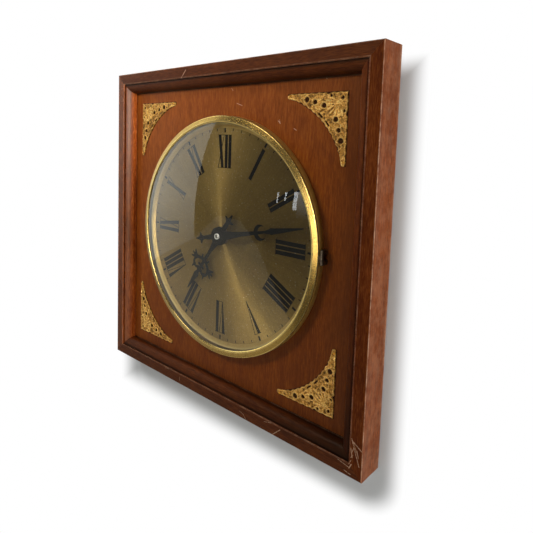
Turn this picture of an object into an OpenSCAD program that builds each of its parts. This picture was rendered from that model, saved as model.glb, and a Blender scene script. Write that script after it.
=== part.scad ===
// Square wood-framed wall clock with a hinged glass door, gilt corner ornaments and a quartz movement.
// Millimetres. +Z is up, +Y points into the wall, and the origin is the hanger's round hole on the wall.
// Every piece is drawn facing up: X to the right, Y up the clock, Z out of the wall, about the dial's axis.

/* [Frame] */
// Side of the square frame
frame_side = 300; // [296:1:310]
// Depth from the wall to the front of the frame
frame_depth = 27; // [25:0.5:29]
// Width of the flat outer band
band_w = 10.5; // [9:0.5:12]
// Drop from the band to the top of the moulding
step_drop = 1.4; // [1:0.1:1.4]
// Width of the flat beside that drop
step_w = 0.8; // [0.5:0.1:1.2]
// Height of the ledge at the foot of the moulding
ledge_h = 1; // [0.6:0.1:1]
// Width of that ledge
ledge_w = 0.7; // [0.4:0.1:1]
// Rounding of the outer edges at the front
front_edge_r = 1; // [0.5:0.1:2]
// Rounding of the outer edges at the wall
back_edge_r = 3; // [1:0.5:4]
// Radius of the nails across the mitres
nail_r = 0.7; // [0.5:0.1:1]
// Length of those nails
nail_len = 24; // [18:1:30]

/* [Panel] */
// Thickness of the panel inside the frame
panel_t = 5; // [4.5:0.5:6]
// How far the panel runs in behind the moulding
panel_lap = 7; // [5:0.5:8]
// Gap between the panel and the rebate that takes it
panel_play = 0.3; // [0.2:0.1:0.5]
// Margin of the panel's opening round the movement
opening_margin = 3; // [2:0.5:5]
// Radius of the brads that hold the panel
brad_r = 0.6; // [0.4:0.1:0.8]
// Length of those brads
brad_len = 12; // [9:1:14]
// Distance of each brad from the corner of the frame
brad_inset = 40; // [32:1:50]

/* [Hanger] */
// Distance from the top of the frame down to the middle of the hanger's round hole
hang_drop = 28; // [26:1:30]
// Height of the wooden cleat behind the panel
cleat_h = 30; // [26:1:32]
// Length of the cleat
cleat_len = 170; // [120:1:190]
// Radius of the hanger's round hole
hang_hole_r = 4; // [3.5:0.1:4.2]
// Half width of the hanger's slot
hang_slot_r = 2; // [1.5:0.1:2]
// Length of the slot from the middle of the round hole
hang_slot_len = 8; // [6:0.5:9]
// Thickness of the hanger plate
hang_t = 1.2; // [1:0.1:1.6]
// Width of the hanger plate
hang_w = 44; // [36:1:50]
// Distance between the two hanger screws
hang_screw_pitch = 34; // [28:1:35]
// Depth of the pocket behind the plate for a screw head
hang_pocket = 7; // [5:0.5:7.5]
// Radius of the hanger screws' heads
hang_head_r = 2.6; // [2.2:0.1:3]
// Radius of the hanger screws
hang_screw_r = 1.3; // [1:0.1:1.5]
// Length of the hanger screws
hang_screw_len = 9; // [7:0.5:10]
// Height of the hanger screws over the round hole
hang_screw_rise = 2; // [1:0.1:3]

/* [Corner ornaments] */
// Margin of panel between an ornament's outer edges and the frame
orn_inset = 10; // [7:0.5:14]
// Length of an ornament along each outer edge
orn_leg = 53.5; // [50:0.5:56]
// Width of the tip of each leg
orn_tip_w = 3; // [2.4:0.1:3.6]
// Depth of an ornament from its corner to its curved inner edge
orn_depth = 29.7; // [27:0.1:33]
// Thickness of an ornament
orn_t = 0.9; // [0.6:0.1:1.4]
// Height of the raised rings round its holes
orn_relief = 0.5; // [0.3:0.1:0.8]
// Width of those rings
orn_ring_w = 0.8; // [0.5:0.1:1]
// Radius of the ornament pins' heads
orn_pin_head_r = 0.9; // [0.7:0.1:1.1]
// Radius of the ornament pins
orn_pin_r = 0.4; // [0.3:0.05:0.5]
// Length of the ornament pins below the ornament
orn_pin_len = 3.6; // [3:0.1:4]

/* [Dial] */
// Radius of the dial plate
dial_r = 101; // [94:0.5:106]
// Thickness of the dial plate
dial_t = 0.8; // [0.6:0.1:1]
// Depth of the panel's recess for the dial
dial_sink = 1.3; // [1:0.1:1.3]
// Gap round the dial in its recess
dial_play = 0.3; // [0.2:0.1:0.4]
// Thickness of the printed numerals
print_t = 0.12; // [0.08:0.02:0.2]
// Margin of the dial outside the minute ticks
track_inset = 6; // [5.5:0.1:7]
// Space between the minute ticks and the numerals
numeral_gap = 2.9; // [2:0.1:4]
// Height of the numerals
numeral_h = 29; // [26:0.5:30]
// Width of a numeral's heavy stroke
stroke_w = 2.6; // [2:0.1:3]
// Width of a numeral's hairline
hairline_w = 0.5; // [0.3:0.05:0.8]
// Space between the strokes of a numeral
stroke_gap = 1.1; // [0.8:0.1:1.4]
// Length of the minute ticks
tick_len = 2.6; // [2:0.1:3.5]
// Width of the minute ticks
tick_w = 0.5; // [0.3:0.05:0.8]
// Width of the hour ticks
hour_tick_w = 1.3; // [1:0.1:1.8]

/* [Glass door] */
// How far the dial runs in under the fixed ring's flange
dial_lap = 1.6; // [1.2:0.1:1.9]
// Height of the ring over the panel
bezel_rise = 8.5; // [8.1:0.1:9]
// Height of the fixed ring's wall over the panel
base_rise = 5.3; // [5:0.1:5.5]
// Gap between the fixed ring and the door
door_gap = 0.3; // [0.25:0.05:0.4]
// Wall of the fixed ring
base_wall = 1.2; // [1:0.1:1.4]
// Width of the fixed ring's flange
flange_w = 5.8; // [5.5:0.1:6.4]
// Thickness of that flange
flange_t = 0.8; // [0.6:0.1:1]
// Width of the sloping sight ring inside that flange
sight_w = 4.4; // [3.6:0.1:4.4]
// Rise of the sight ring
sight_rise = 2.6; // [2:0.1:2.8]
// Gap between the fixed ring's wall and the door's skirt
skirt_gap = 0.5; // [0.4:0.05:0.6]
// Wall of the door's skirt
skirt_t = 0.8; // [0.6:0.1:1]
// Height of the skirt's foot over the panel
skirt_foot = 2; // [1.8:0.1:2.4]
// Width of the door's brass rim from its outer edge to its lip
rim_w = 6; // [5.6:0.1:6.8]
// Width of the door ring's steep outer slope
brow_w = 2; // [1.6:0.1:2.3]
// Drop of its gentle slope, from the crest to the steep one
brow_drop = 1; // [0.6:0.1:1.2]
// Width of the bevel inside the crest
bead_w = 1; // [0.7:0.1:1.4]
// Thickness of the lip
lip_t = 0.7; // [0.5:0.1:0.9]
// Radius of curvature of the glass
glass_curve_r = 383; // [360:1:420]
// Thickness of the glass
glass_t = 1.8; // [1.5:0.1:2]
// Gap round the edge of the glass
glass_play = 0.5; // [0.4:0.05:0.6]
// Gap between the glass and what holds it
glass_seat = 0.05; // [0.03:0.01:0.1]
// Thickness of the ring that keeps the glass in
retainer_t = 0.8; // [0.6:0.1:1]
// Width of that ring
retainer_w = 2.8; // [2.4:0.1:3]
// Radius of the hinge's knuckles
knuckle_r = 1.5; // [1.2:0.1:1.6]
// Gap between the ring and the knuckles
knuckle_clear = 0.5; // [0.4:0.05:0.7]
// Length of the hinge
hinge_len = 11; // [10:0.5:13]
// Length of the middle knuckle, which is the door's
door_knuckle_len = 3.6; // [3:0.1:4]
// Gap between knuckles
knuckle_gap = 0.3; // [0.2:0.05:0.4]
// Radius of the hinge pin
pin_r = 0.6; // [0.5:0.05:0.7]
// Radial running clearance of the hinge pin
pin_play = 0.05; // [0.03:0.01:0.08]
// Width of the catch spring
catch_w = 10; // [8:0.5:12]
// Thickness of the catch spring
catch_t = 0.5; // [0.4:0.05:0.6]
// Radius of the fixed ring's screws
ring_screw_r = 0.6; // [0.5:0.05:0.7]
// Radius of the heads of those screws
ring_head_r = 0.9; // [0.8:0.05:0.95]
// Height of those heads
ring_head_h = 0.6; // [0.5:0.05:0.8]
// Length of those screws below the flange
ring_screw_len = 4; // [3:0.1:4.2]

/* [Hands] */
// How far the minute hand reaches over the minute ticks
minute_reach = 0.6; // [-2:0.1:1.5]
// How far the hour hand reaches over the feet of the numerals
hour_reach = 8.5; // [4:0.5:12]
// Thickness of the hands
hand_t = 0.5; // [0.4:0.05:0.7]
// Width of the hands' stems
stem_w = 2.4; // [1.8:0.1:3]
// Radius of the minute hand's boss
minute_boss_r = 7; // [6:0.1:8]
// Radius of the hour hand's boss
hour_boss_r = 8; // [7:0.1:9]
// Minutes past the hour that the hands show
shown_minute = 13; // [0:1:59]
// Hour that the hands show
shown_hour = 7; // [0:1:11]
// Radius of the nut on the hands
hand_nut_r = 2.7; // [2.4:0.05:3]
// Height of that nut
hand_nut_h = 1.2; // [1:0.1:1.6]

/* [Movement] */
// Room for a battery contact at each end of the cell
contact_room = 1.55; // [1.2:0.05:2]
// Height of the works above the axis
case_above = 21.5; // [21:0.5:24]
// Height of the works below the axis
case_below = 19; // [18:0.5:20]
// Wall of the case
case_wall = 1.2; // [1:0.1:1.2]
// Gap between the case and the wall behind the clock
wall_gap = 0.5; // [0.4:0.05:0.6]
// Radius of the battery cell
cell_r = 7.1; // [6.9:0.05:7.15]
// Length of the battery cell with its button
cell_len = 50.5; // [49:0.1:50.5]
// Gap round the battery cell in its bay
cell_play = 0.25; // [0.2:0.05:0.3]
// Thickness of the case's front over the battery cell
cell_skin = 0.45; // [0.4:0.05:1]
// Thickness of the battery contacts
contact_t = 0.4; // [0.3:0.05:0.6]
// Distance from the axis to each arbor of the train
arbor_at = 11.6; // [11.4:0.1:12]
// Distance from the intermediate arbor to the rotor
rotor_at = 8; // [7.8:0.1:8.4]
// Direction from the intermediate arbor to the rotor
rotor_dir = 15; // [10:1:25]
// Radius of the arbors
arbor_r = 0.6; // [0.5:0.05:0.65]
// Radial running clearance of the arbors and tubes
run_play = 0.08; // [0.05:0.01:0.1]
// Thickness of the wheels
wheel_t = 0.8; // [0.6:0.1:0.9]
// Spacing of the wheels along the axis
layer_pitch = 1.8; // [1.7:0.05:1.8]
// How much longer a pinion is than its wheel at each end
pinion_extra = 0.2; // [0.1:0.05:0.25]
// Pressure angle of the teeth
pressure_angle = 30; // [29:1:32]
// Share of the tooth pitch that a tooth fills
tooth_share = 0.44; // [0.4:0.01:0.45]
// Outer radius of the threaded bush
bush_r = 4; // [3.9:0.05:4.2]
// Outer radius of the hour tube
hour_tube_r = 2.95; // [2.9:0.01:3]
// Outer radius of the minute tube
minute_tube_r = 2.05; // [1.95:0.01:2.1]
// Radius of the seconds arbor inside the minute tube
seconds_arbor_r = 0.8; // [0.7:0.05:0.85]
// Gap between the bush and the dial's hole
bush_play = 0.2; // [0.1:0.05:0.4]
// Thickness of the washer under the nut
washer_t = 0.5; // [0.4:0.05:0.8]
// Outer radius of that washer
washer_r = 7.5; // [7:0.1:8.5]
// Thickness of the nut
nut_t = 2.2; // [1.8:0.1:2.4]
// Width of the nut across its flats
nut_flats = 11; // [10:0.5:12]
// Radius of the setting knob
knob_r = 4.6; // [4:0.1:4.8]
// Height of the setting knob
knob_h = 2.5; // [2:0.1:2.6]
// Gap round the setting knob in its well
knob_play = 0.6; // [0.4:0.1:0.8]
// Radius of the rotor's magnet
magnet_r = 3; // [2.6:0.1:3.1]
// Height of the rotor's magnet
magnet_h = 2.6; // [2:0.1:3]
// Air gap between the magnet and the stator
air_gap = 0.5; // [0.4:0.05:0.7]
// Thickness of the stator
stator_t = 0.8; // [0.6:0.1:1]
// Radius of the coil
coil_r = 3.3; // [2.8:0.1:3.4]
// Length of the coil
coil_len = 7.8; // [6:0.2:8.2]

/* [Hidden] */
$fn = 96;
// Far enough to cut right through
through = 2 * frame_side;
// A hair's breadth that lets pressed pieces meet without biting
touch = 0.02;

// Frame and panel
frame_half = frame_side / 2;
band_inner = frame_half - band_w;
// The battery cell sets how far the dial stands off the wall, and the round moulding takes what is left
z_cell = cell_r + wall_gap - 0.1;
z_panel = z_cell + cell_r + cell_play + cell_skin + dial_sink;
ovolo_r = frame_depth - step_drop - ledge_h - z_panel;
sight_half = band_inner - step_w - ovolo_r - ledge_w;
panel_half = sight_half + panel_lap;
rebate_half = panel_half + panel_play;
z_panel_back = z_panel - panel_t;
z_brad = z_panel_back - brad_r - touch;
nail_x = frame_half - band_w / 2;
brad_at = frame_half - brad_inset;
hang_rise = frame_half - hang_drop;
orn_edge = sight_half - orn_inset;
// The curved inner edge runs through the middle of the ornament and both of its tips
orn_waist = orn_depth / sqrt(2);
orn_tip_at = orn_leg - orn_tip_w / 2;
orn_arc_at = (orn_tip_at * orn_tip_at + orn_tip_w * orn_tip_w - 2 * orn_waist * orn_waist)
    / (2 * (orn_tip_at + orn_tip_w - 2 * orn_waist));
orn_arc_r = (orn_arc_at - orn_waist) * sqrt(2);
nail_levels = [frame_depth * 0.3, frame_depth * 0.62];

// Dial and door
flange_r = dial_r - dial_lap;
bezel_r = flange_r + flange_w;
lip_r = bezel_r - rim_w;
tick_r = dial_r - track_inset - tick_len;
numeral_foot_r = tick_r - numeral_gap - numeral_h;
minute_len = tick_r + minute_reach;
hour_len = numeral_foot_r + hour_reach;
z_dial_back = z_panel - dial_sink;
z_dial = z_dial_back + dial_t;
z_flange = z_panel + flange_t;
z_base_top = z_panel + base_rise;
z_door = z_base_top + door_gap;
z_crest = z_panel + bezel_rise;
bead_t = lip_t / 2;
base_inner = bezel_r - base_wall;
skirt_outer = base_inner - skirt_gap;
skirt_inner = skirt_outer - skirt_t;
z_skirt = z_panel + skirt_foot;
glass_r = skirt_inner - glass_play;
z_lip = z_crest - lip_t;
// Height of a sphere's cap over its edge
function cap_rise(radius, edge) = radius - sqrt(radius * radius - edge * edge);
z_glass_centre = z_lip - glass_seat + cap_rise(glass_curve_r, lip_r) - glass_curve_r;
glass_inner_r = glass_curve_r - glass_t;
z_glass_edge = z_glass_centre + sqrt(glass_inner_r * glass_inner_r - glass_r * glass_r);
z_retainer = z_glass_edge - glass_seat - retainer_t;
hinge_x = bezel_r + knuckle_clear + knuckle_r;
hinge_z = z_base_top + door_gap / 2;
ring_screw_at = (base_inner + skirt_inner) / 2 - 0.45;
dial_brad_at = (dial_r + flange_r) / 2;
dial_brad_r = 0.4;
dial_brad_len = 3;

// Movement: depths
case_w = cell_len + 2 * (contact_room + case_wall);
z_case = z_dial_back;
z_case_inner = z_case - case_wall;
z_back_inner = wall_gap + case_wall;
bay_h = 2 * (cell_r + cell_play);
bay_top = -case_below - case_wall;
bay_mid = bay_top - bay_h / 2;
case_bottom = bay_top - bay_h - case_wall;
end_shake = 0.8;
pivot_depth = 0.6;
// Height of the back of the wheel in each layer, the hour wheel being layer 0
function layer(n) = z_case_inner - end_shake - wheel_t - n * layer_pitch;
z_bush = z_dial + washer_t + nut_t + 0.6;
z_hour_hand = z_bush + 0.5;
z_hour_tube = z_hour_hand + hand_t + 0.8;
z_minute_hand = z_hour_tube + 1.3;
z_minute_tube = z_minute_hand + hand_t + hand_nut_h - 0.3;
z_seconds_end = z_minute_tube - 1.5;
knob_well = knob_h + 0.6;
well_floor = 0.8;
case_clear = 0.3;

// Movement: teeth. Every pair shares one arbor distance, so each pair's module follows from it.
cannon_n = 10;
motion_n = 30;
motion_pinion_n = 8;
hour_n = 32;
center_n = 48;
third_pinion_n = 6;
third_n = 45;
seconds_pinion_n = 6;
seconds_n = 36;
inter_pinion_n = 6;
inter_n = 30;
rotor_n = 6;
function pair_module(a, b, distance) = 2 * distance / (a + b);
cannon_m = pair_module(cannon_n, motion_n, arbor_at);
hour_m = pair_module(motion_pinion_n, hour_n, arbor_at);
center_m = pair_module(center_n, third_pinion_n, arbor_at);
third_m = pair_module(third_n, seconds_pinion_n, arbor_at);
seconds_m = pair_module(seconds_n, inter_pinion_n, arbor_at);
inter_m = pair_module(inter_n, rotor_n, rotor_at);
addendum = 0.7;
dedendum = 0.95;
third_dir = 180;
motion_dir = 0;
inter_dir = 90;
function polar(radius, angle) = radius * [cos(angle), sin(angle)];
third_pos = polar(arbor_at, third_dir);
motion_pos = polar(arbor_at, motion_dir);
inter_pos = polar(arbor_at, inter_dir);
rotor_pos = inter_pos + polar(rotor_at, rotor_dir);
z_magnet = layer(4) + wheel_t / 2;
z_stator = z_magnet + magnet_h / 2 - stator_t / 2;
core_w = 4;
yoke_w = 2.4;
yoke_low = inter_pos[1] - 1.8;
coil_clear = 0.3;
core_x = case_w / 2 - case_wall - coil_r - 1.2;
core_y = [yoke_low - coil_len - 2 * coil_clear - yoke_w, rotor_pos[1] + magnet_r + air_gap + 0.83];

// Carries what is drawn face up to its place on the wall
module on_wall() {
    translate([0, 0, -hang_rise]) rotate([90, 0, 0]) children();
}

// A ring or disc about the clock's axis
module tube(outer, inner, z0, z1) {
    difference() {
        translate([0, 0, z0]) cylinder(r = outer, h = z1 - z0);
        if (inner > 0) translate([0, 0, z0 - 1]) cylinder(r = inner, h = z1 - z0 + 2);
    }
}

// A round pin between two heights
module post(position, radius, z0, z1) {
    translate([position[0], position[1], z0]) cylinder(r = radius, h = z1 - z0, $fn = 32);
}

// A box given by its two corners
module block(low, high) {
    translate(low) cube(high - low);
}

// A bent strip along an arc
module arc_band(radius, width, from, to, steps = 14) {
    outer = [for (i = [0:steps]) polar(radius + width / 2, from + (to - from) * i / steps)];
    inner = [for (i = [steps:-1:0]) polar(radius - width / 2, from + (to - from) * i / steps)];
    polygon(concat(outer, inner));
}

// Wooden frame

module eased_corner(radius) {
    difference() {
        square(radius + 1);
        circle(radius, $fn = 48);
    }
}

module rail_section() {
    z_ovolo = z_panel + ledge_h;
    difference() {
        translate([band_inner, 0]) square([band_w, frame_depth]);
        translate([frame_half - front_edge_r, frame_depth - front_edge_r]) eased_corner(front_edge_r);
        translate([frame_half - back_edge_r, back_edge_r]) mirror([0, 1]) eased_corner(back_edge_r);
    }
    translate([rebate_half, 0]) square([band_inner - rebate_half, z_panel]);
    translate([sight_half, z_panel]) square([band_inner - sight_half, ledge_h]);
    translate([band_inner - step_w, z_ovolo]) square([step_w, ovolo_r]);
    intersection() {
        translate([band_inner - step_w, z_ovolo]) circle(ovolo_r);
        translate([band_inner - step_w - ovolo_r, z_ovolo]) square(ovolo_r);
    }
}

module each_nail() {
    for (side = [-1, 1], up = [-1, 1], z = nail_levels)
        translate([side * nail_x, up * frame_half, z])
            rotate([up * 90, 0, 0]) cylinder(r = nail_r, h = nail_len, $fn = 24);
}

module each_brad() {
    for (turn = [0:90:270], at = [-1, 1])
        rotate(turn) translate([rebate_half + brad_len / 2, at * brad_at, z_brad])
            rotate([0, -90, 0]) cylinder(r = brad_r, h = brad_len, $fn = 24);
}

// One mitred rail, turned about the clock's axis from the right-hand side
module rail(turn) {
    on_wall() difference() {
        rotate(turn) intersection() {
            rotate([90, 0, 0]) linear_extrude(frame_side, center = true) rail_section();
            linear_extrude(frame_depth)
                polygon([[0, 0], [frame_side, -frame_side], [frame_side, frame_side]]);
        }
        each_nail();
        each_brad();
    }
}

module top_rail() { color("#4a2818") rail(90); }
module bottom_rail() { color("#4f2b19") rail(270); }
module left_rail() { color("#8a5030") rail(180); }
module right_rail() { color("#6b4630") rail(0); }

module mitre_nails() {
    color("dimgray") on_wall() each_nail();
}

module panel_brads() {
    color("dimgray") on_wall() each_brad();
}

module face_panel() {
    open_x = case_w / 2 + opening_margin;
    open_low = case_bottom - opening_margin;
    open_high = case_above + opening_margin;
    color("#70381a") on_wall() difference() {
        block([-panel_half, -panel_half, z_panel_back], [panel_half, panel_half, z_panel]);
        tube(dial_r + dial_play, 0, z_dial_back, z_panel + 1);
        block([-open_x, open_low, 0], [open_x, open_high, frame_depth]);
        each_ring_screw(touch);
        each_dial_brad(touch);
        each_ornament() each_ornament_pin(touch);
    }
}

// Hanger

module keyhole(round_r, slot_r, z0, z1) {
    translate([0, hang_rise, 0]) {
        post([0, 0], round_r, z0, z1);
        post([0, hang_slot_len], slot_r, z0, z1);
        block([-slot_r, 0, z0], [slot_r, hang_slot_len, z1]);
    }
}

module hanger_outline(grow, z0, z1) {
    side = hang_w / 2 + grow;
    low = hang_rise - hang_hole_r - 2.5 - grow;
    high = hang_rise + hang_slot_len + hang_slot_r + 2.5 + grow;
    block([-side, low, z0], [side, high, z1]);
}

module each_hanger_screw(head_grow, shank_grow) {
    for (side = [-1, 1]) translate([side * hang_screw_pitch / 2, hang_rise + hang_screw_rise, 0]) {
        translate([0, 0, -head_grow])
            cylinder(r1 = hang_head_r + head_grow, r2 = hang_screw_r, h = hang_t + head_grow, $fn = 32);
        post([0, 0], hang_screw_r + shank_grow, 0, hang_screw_len);
    }
}

module hanging_cleat() {
    cleat_top = rebate_half - panel_play;
    pocket_r = hang_hole_r + 1.5;
    color("#9a6a42") on_wall() difference() {
        block([-cleat_len / 2, cleat_top - cleat_h, 0], [cleat_len / 2, cleat_top, z_panel_back]);
        hanger_outline(panel_play, -1, hang_t);
        keyhole(pocket_r, pocket_r, 0, hang_t + hang_pocket);
        each_hanger_screw(touch, touch);
    }
}

module hanger_plate() {
    color("silver") on_wall() difference() {
        hanger_outline(0, 0, hang_t);
        keyhole(hang_hole_r, hang_slot_r, -1, hang_t + 1);
        each_hanger_screw(touch, touch);
    }
}

module hanger_screws() {
    color("gainsboro") on_wall() difference() {
        each_hanger_screw(0, 0);
        for (side = [-1, 1]) translate([side * hang_screw_pitch / 2, hang_rise + hang_screw_rise, 0])
            cube([2 * hang_head_r, 0.7, 1], center = true);
    }
}

// Corner ornaments, drawn for the upper right corner

// Distances of each hole from the two outer edges, and its radius
orn_holes = [[35, 4.7, 1.9], [27.5, 6.8, 1.5], [19.7, 9.5, 1.7], [14, 2.7, 0.9]];
orn_corner_hole = [4.4, 4.4, 1.1];
orn_slit = [22.6, 16.6, 0.45];
orn_slit_len = 4;

module mirrored_on_diagonal() {
    children();
    mirror([1, -1, 0]) children();
}

module each_ornament() {
    for (x = [0, 1], y = [0, 1]) mirror([x, 0, 0]) mirror([0, y, 0]) children();
}

function orn_place(hole) = [orn_edge - hole[0], orn_edge - hole[1]];

module each_ornament_pin(grow) {
    z_top = z_panel + orn_t;
    tip = [orn_leg - 3.4, orn_tip_w / 2];
    mirrored_on_diagonal() translate(orn_place(tip)) {
        post([0, 0], orn_pin_r + grow, z_panel - orn_pin_len, z_top);
        post([0, 0], orn_pin_head_r, z_top, z_top + 0.4);
    }
}

module ornament_outline() {
    low = orn_edge - orn_leg;
    difference() {
        translate([low, low]) square(orn_leg);
        translate(orn_place([orn_arc_at, orn_arc_at])) circle(orn_arc_r, $fn = 180);
    }
    mirrored_on_diagonal() {
        translate([low + orn_tip_w / 2, orn_edge - orn_tip_w]) square([orn_leg / 2, orn_tip_w]);
        translate([low + orn_tip_w / 2, orn_edge - orn_tip_w / 2]) circle(d = orn_tip_w, $fn = 32);
    }
}

module ornament() {
    z_top = z_panel + orn_t;
    difference() {
        union() {
            translate([0, 0, z_panel]) linear_extrude(orn_t) ornament_outline();
            mirrored_on_diagonal() for (hole = orn_holes)
                post(orn_place(hole), hole[2] + orn_ring_w, z_panel, z_top + orn_relief);
        }
        mirrored_on_diagonal() {
            for (hole = orn_holes) post(orn_place(hole), hole[2], 0, frame_depth);
            translate(orn_place(orn_slit)) rotate(-40)
                cube([orn_slit_len, 2 * orn_slit[2], 3 * frame_depth], center = true);
        }
        post(orn_place(orn_corner_hole), orn_corner_hole[2], 0, frame_depth);
        each_ornament_pin(touch);
    }
}

module corner_ornament_upper_right() { color("#c9a14a") on_wall() ornament(); }
module corner_ornament_upper_left() { color("#c9a14a") on_wall() mirror([1, 0, 0]) ornament(); }
module corner_ornament_lower_left() { color("#c9a14a") on_wall() rotate(180) ornament(); }
module corner_ornament_lower_right() { color("#c9a14a") on_wall() mirror([0, 1, 0]) ornament(); }

module ornament_pins() {
    color("#d8b860") on_wall() each_ornament() each_ornament_pin(0);
}

// Dial

module each_dial_brad(grow) {
    for (turn = [45:90:315]) rotate(turn) {
        post([dial_brad_at, 0], dial_brad_r + grow, z_dial - dial_brad_len, z_dial);
        post([dial_brad_at, 0], dial_brad_r * 1.6, z_dial, z_dial + 0.3);
    }
}

module dial_plate() {
    color("#b09a50") on_wall() difference() {
        tube(dial_r, bush_r + bush_play, z_dial_back, z_dial);
        each_dial_brad(touch);
    }
}

module dial_brads() {
    color("#b08d3a") on_wall() each_dial_brad(0);
}

// Widths of the letters of a numeral
function letter_w(letter) = letter == "I" ? stroke_w : 2.6 * stroke_w;
function numeral_w(word, n) = n == 0 ? 0 : numeral_w(word, n - 1) + letter_w(word[n - 1]) + stroke_gap;

// A slanted stroke from one foot position to one head position
module slant(foot, head, width) {
    polygon([[foot, 0], [foot + width, 0], [head + width, numeral_h], [head, numeral_h]]);
}

module letter(name) {
    wide = letter_w(name);
    if (name == "I") square([stroke_w, numeral_h]);
    if (name == "V") {
        slant((wide - stroke_w) / 2, 0, stroke_w);
        slant(wide / 2, wide - hairline_w, hairline_w);
    }
    if (name == "X") {
        slant(wide - stroke_w, 0, stroke_w);
        slant(0, wide - hairline_w, hairline_w);
    }
}

module numeral(word) {
    wide = numeral_w(word, len(word)) - stroke_gap;
    translate([-wide / 2, 0]) {
        for (n = [0:len(word) - 1]) translate([numeral_w(word, n), 0]) letter(word[n]);
        for (y = [0, numeral_h - hairline_w]) translate([-stroke_gap / 2, y])
            square([wide + stroke_gap, hairline_w]);
    }
}

module dial_print() {
    words = ["XII", "I", "II", "III", "IIII", "V", "VI", "VII", "VIII", "IX", "X", "XI"];
    color("#15100c") on_wall() translate([0, 0, z_dial]) linear_extrude(print_t) {
        for (hour = [0:11]) rotate(-30 * hour) translate([0, numeral_foot_r]) numeral(words[hour]);
        for (minute = [0:59]) rotate(-6 * minute) {
            wide = minute % 5 == 0 ? hour_tick_w : tick_w;
            translate([-wide / 2, tick_r]) square([wide, tick_len]);
        }
    }
}

// Fixed ring and hinged glass door

module each_ring_screw(grow) {
    for (turn = [30:60:330]) rotate(turn) {
        post([ring_screw_at, 0], ring_screw_r + grow, z_flange - ring_screw_len, z_flange);
        post([ring_screw_at, 0], ring_head_r, z_flange, z_flange + ring_head_h);
    }
}

module sight_section() {
    low = flange_r - sight_w;
    high = flange_r - 0.6;
    polygon([[low, z_panel], [flange_r + 0.2, z_panel], [flange_r + 0.2, z_flange],
        [high + 0.2, z_panel + sight_rise], [high, z_panel + sight_rise], [low, z_panel + 0.3]]);
}

module base_ring() {
    color("#c8a850") on_wall() difference() {
        union() {
            tube(bezel_r, base_inner, z_panel, z_base_top);
            tube(bezel_r, flange_r, z_panel, z_flange);
            rotate_extrude($fn = 180) sight_section();
        }
        each_ring_screw(touch);
    }
}

module base_ring_screws() {
    color("#b08d3a") on_wall() each_ring_screw(0);
}

module catch_spring() {
    far = skirt_inner - door_gap;
    color("#b89a4a") on_wall() intersection() {
        union() {
            tube(far, far - catch_t, z_flange, z_skirt + 1.6);
            tube(far, flange_r + 0.4, z_flange, z_flange + catch_t);
        }
        block([-through, -catch_w / 2, 0], [0, catch_w / 2, frame_depth]);
    }
}

// One stretch of the hinge's barrel
module knuckle(y0, y1, bore) {
    translate([hinge_x, y1, hinge_z]) rotate([90, 0, 0]) difference() {
        cylinder(r = knuckle_r, h = y1 - y0, $fn = 48);
        translate([0, 0, -1]) cylinder(r = bore, h = y1 - y0 + 2, $fn = 48);
    }
}

module hinge_leaf_fixed() {
    inner_end = door_knuckle_len / 2 + knuckle_gap;
    outer_end = hinge_len / 2;
    foot_z = hinge_z - pin_r - pin_play - 0.2;
    color("#4a4034") on_wall() for (side = [0, 1]) mirror([0, side, 0]) {
        knuckle(inner_end, outer_end, pin_r + touch);
        difference() {
            block([base_inner, inner_end, z_panel], [hinge_x + knuckle_r, outer_end, foot_z]);
            translate([0, 0, z_panel - 1]) cylinder(r = bezel_r + touch, h = base_rise + 1 - 0.5);
            translate([hinge_x, 0, hinge_z]) rotate([90, 0, 0])
                cylinder(r = knuckle_r - 0.2, h = through, center = true, $fn = 48);
            block([0, -through, foot_z - 0.9], [hinge_x - knuckle_r, through, frame_depth]);
        }
    }
}

module hinge_pin() {
    color("#3c342c") on_wall() translate([hinge_x, hinge_len / 2 + 0.3, hinge_z]) rotate([90, 0, 0])
        cylinder(r = pin_r, h = hinge_len + 0.6, $fn = 48);
}

module hinge_leaf_door() {
    half = door_knuckle_len / 2;
    color("#54483a") on_wall() {
        knuckle(-half, half, pin_r + pin_play);
        difference() {
            block([base_inner, -half, z_door], [hinge_x, half, hinge_z + knuckle_r]);
            cylinder(r = bezel_r + touch, h = frame_depth);
            translate([hinge_x, 0, hinge_z]) rotate([90, 0, 0])
                cylinder(r = knuckle_r - 0.2, h = through, center = true, $fn = 48);
        }
    }
}

module bezel_section() {
    polygon([[lip_r, z_lip], [skirt_inner, z_lip], [skirt_inner, z_skirt], [skirt_outer, z_skirt],
        [skirt_outer, z_door], [bezel_r, z_door], [bezel_r - brow_w, z_crest - brow_drop],
        [lip_r + bead_w, z_crest], [lip_r, z_lip + bead_t]]);
}

module bezel_ring() {
    color("#d6b45a") on_wall() rotate_extrude($fn = 180) bezel_section();
}

module glass_lens() {
    color("#dfe8e4", 0.35) on_wall() intersection() {
        translate([0, 0, z_glass_centre]) difference() {
            sphere(glass_curve_r, $fn = 180);
            sphere(glass_inner_r, $fn = 180);
        }
        translate([0, 0, z_panel]) cylinder(r = glass_r, h = 2 * frame_depth);
    }
}

module lens_retainer() {
    outer = skirt_inner - touch;
    color("#cbb068") on_wall() tube(outer, outer - retainer_w, z_retainer, z_retainer + retainer_t);
}

// Hands, drawn pointing up

module trefoil(size) {
    for (turn = [-90, 0, 90]) rotate(turn) translate([0, size]) circle(size * 0.62, $fn = 24);
    translate([-size * 0.4, -size]) square([size * 0.8, 2 * size]);
}

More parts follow.
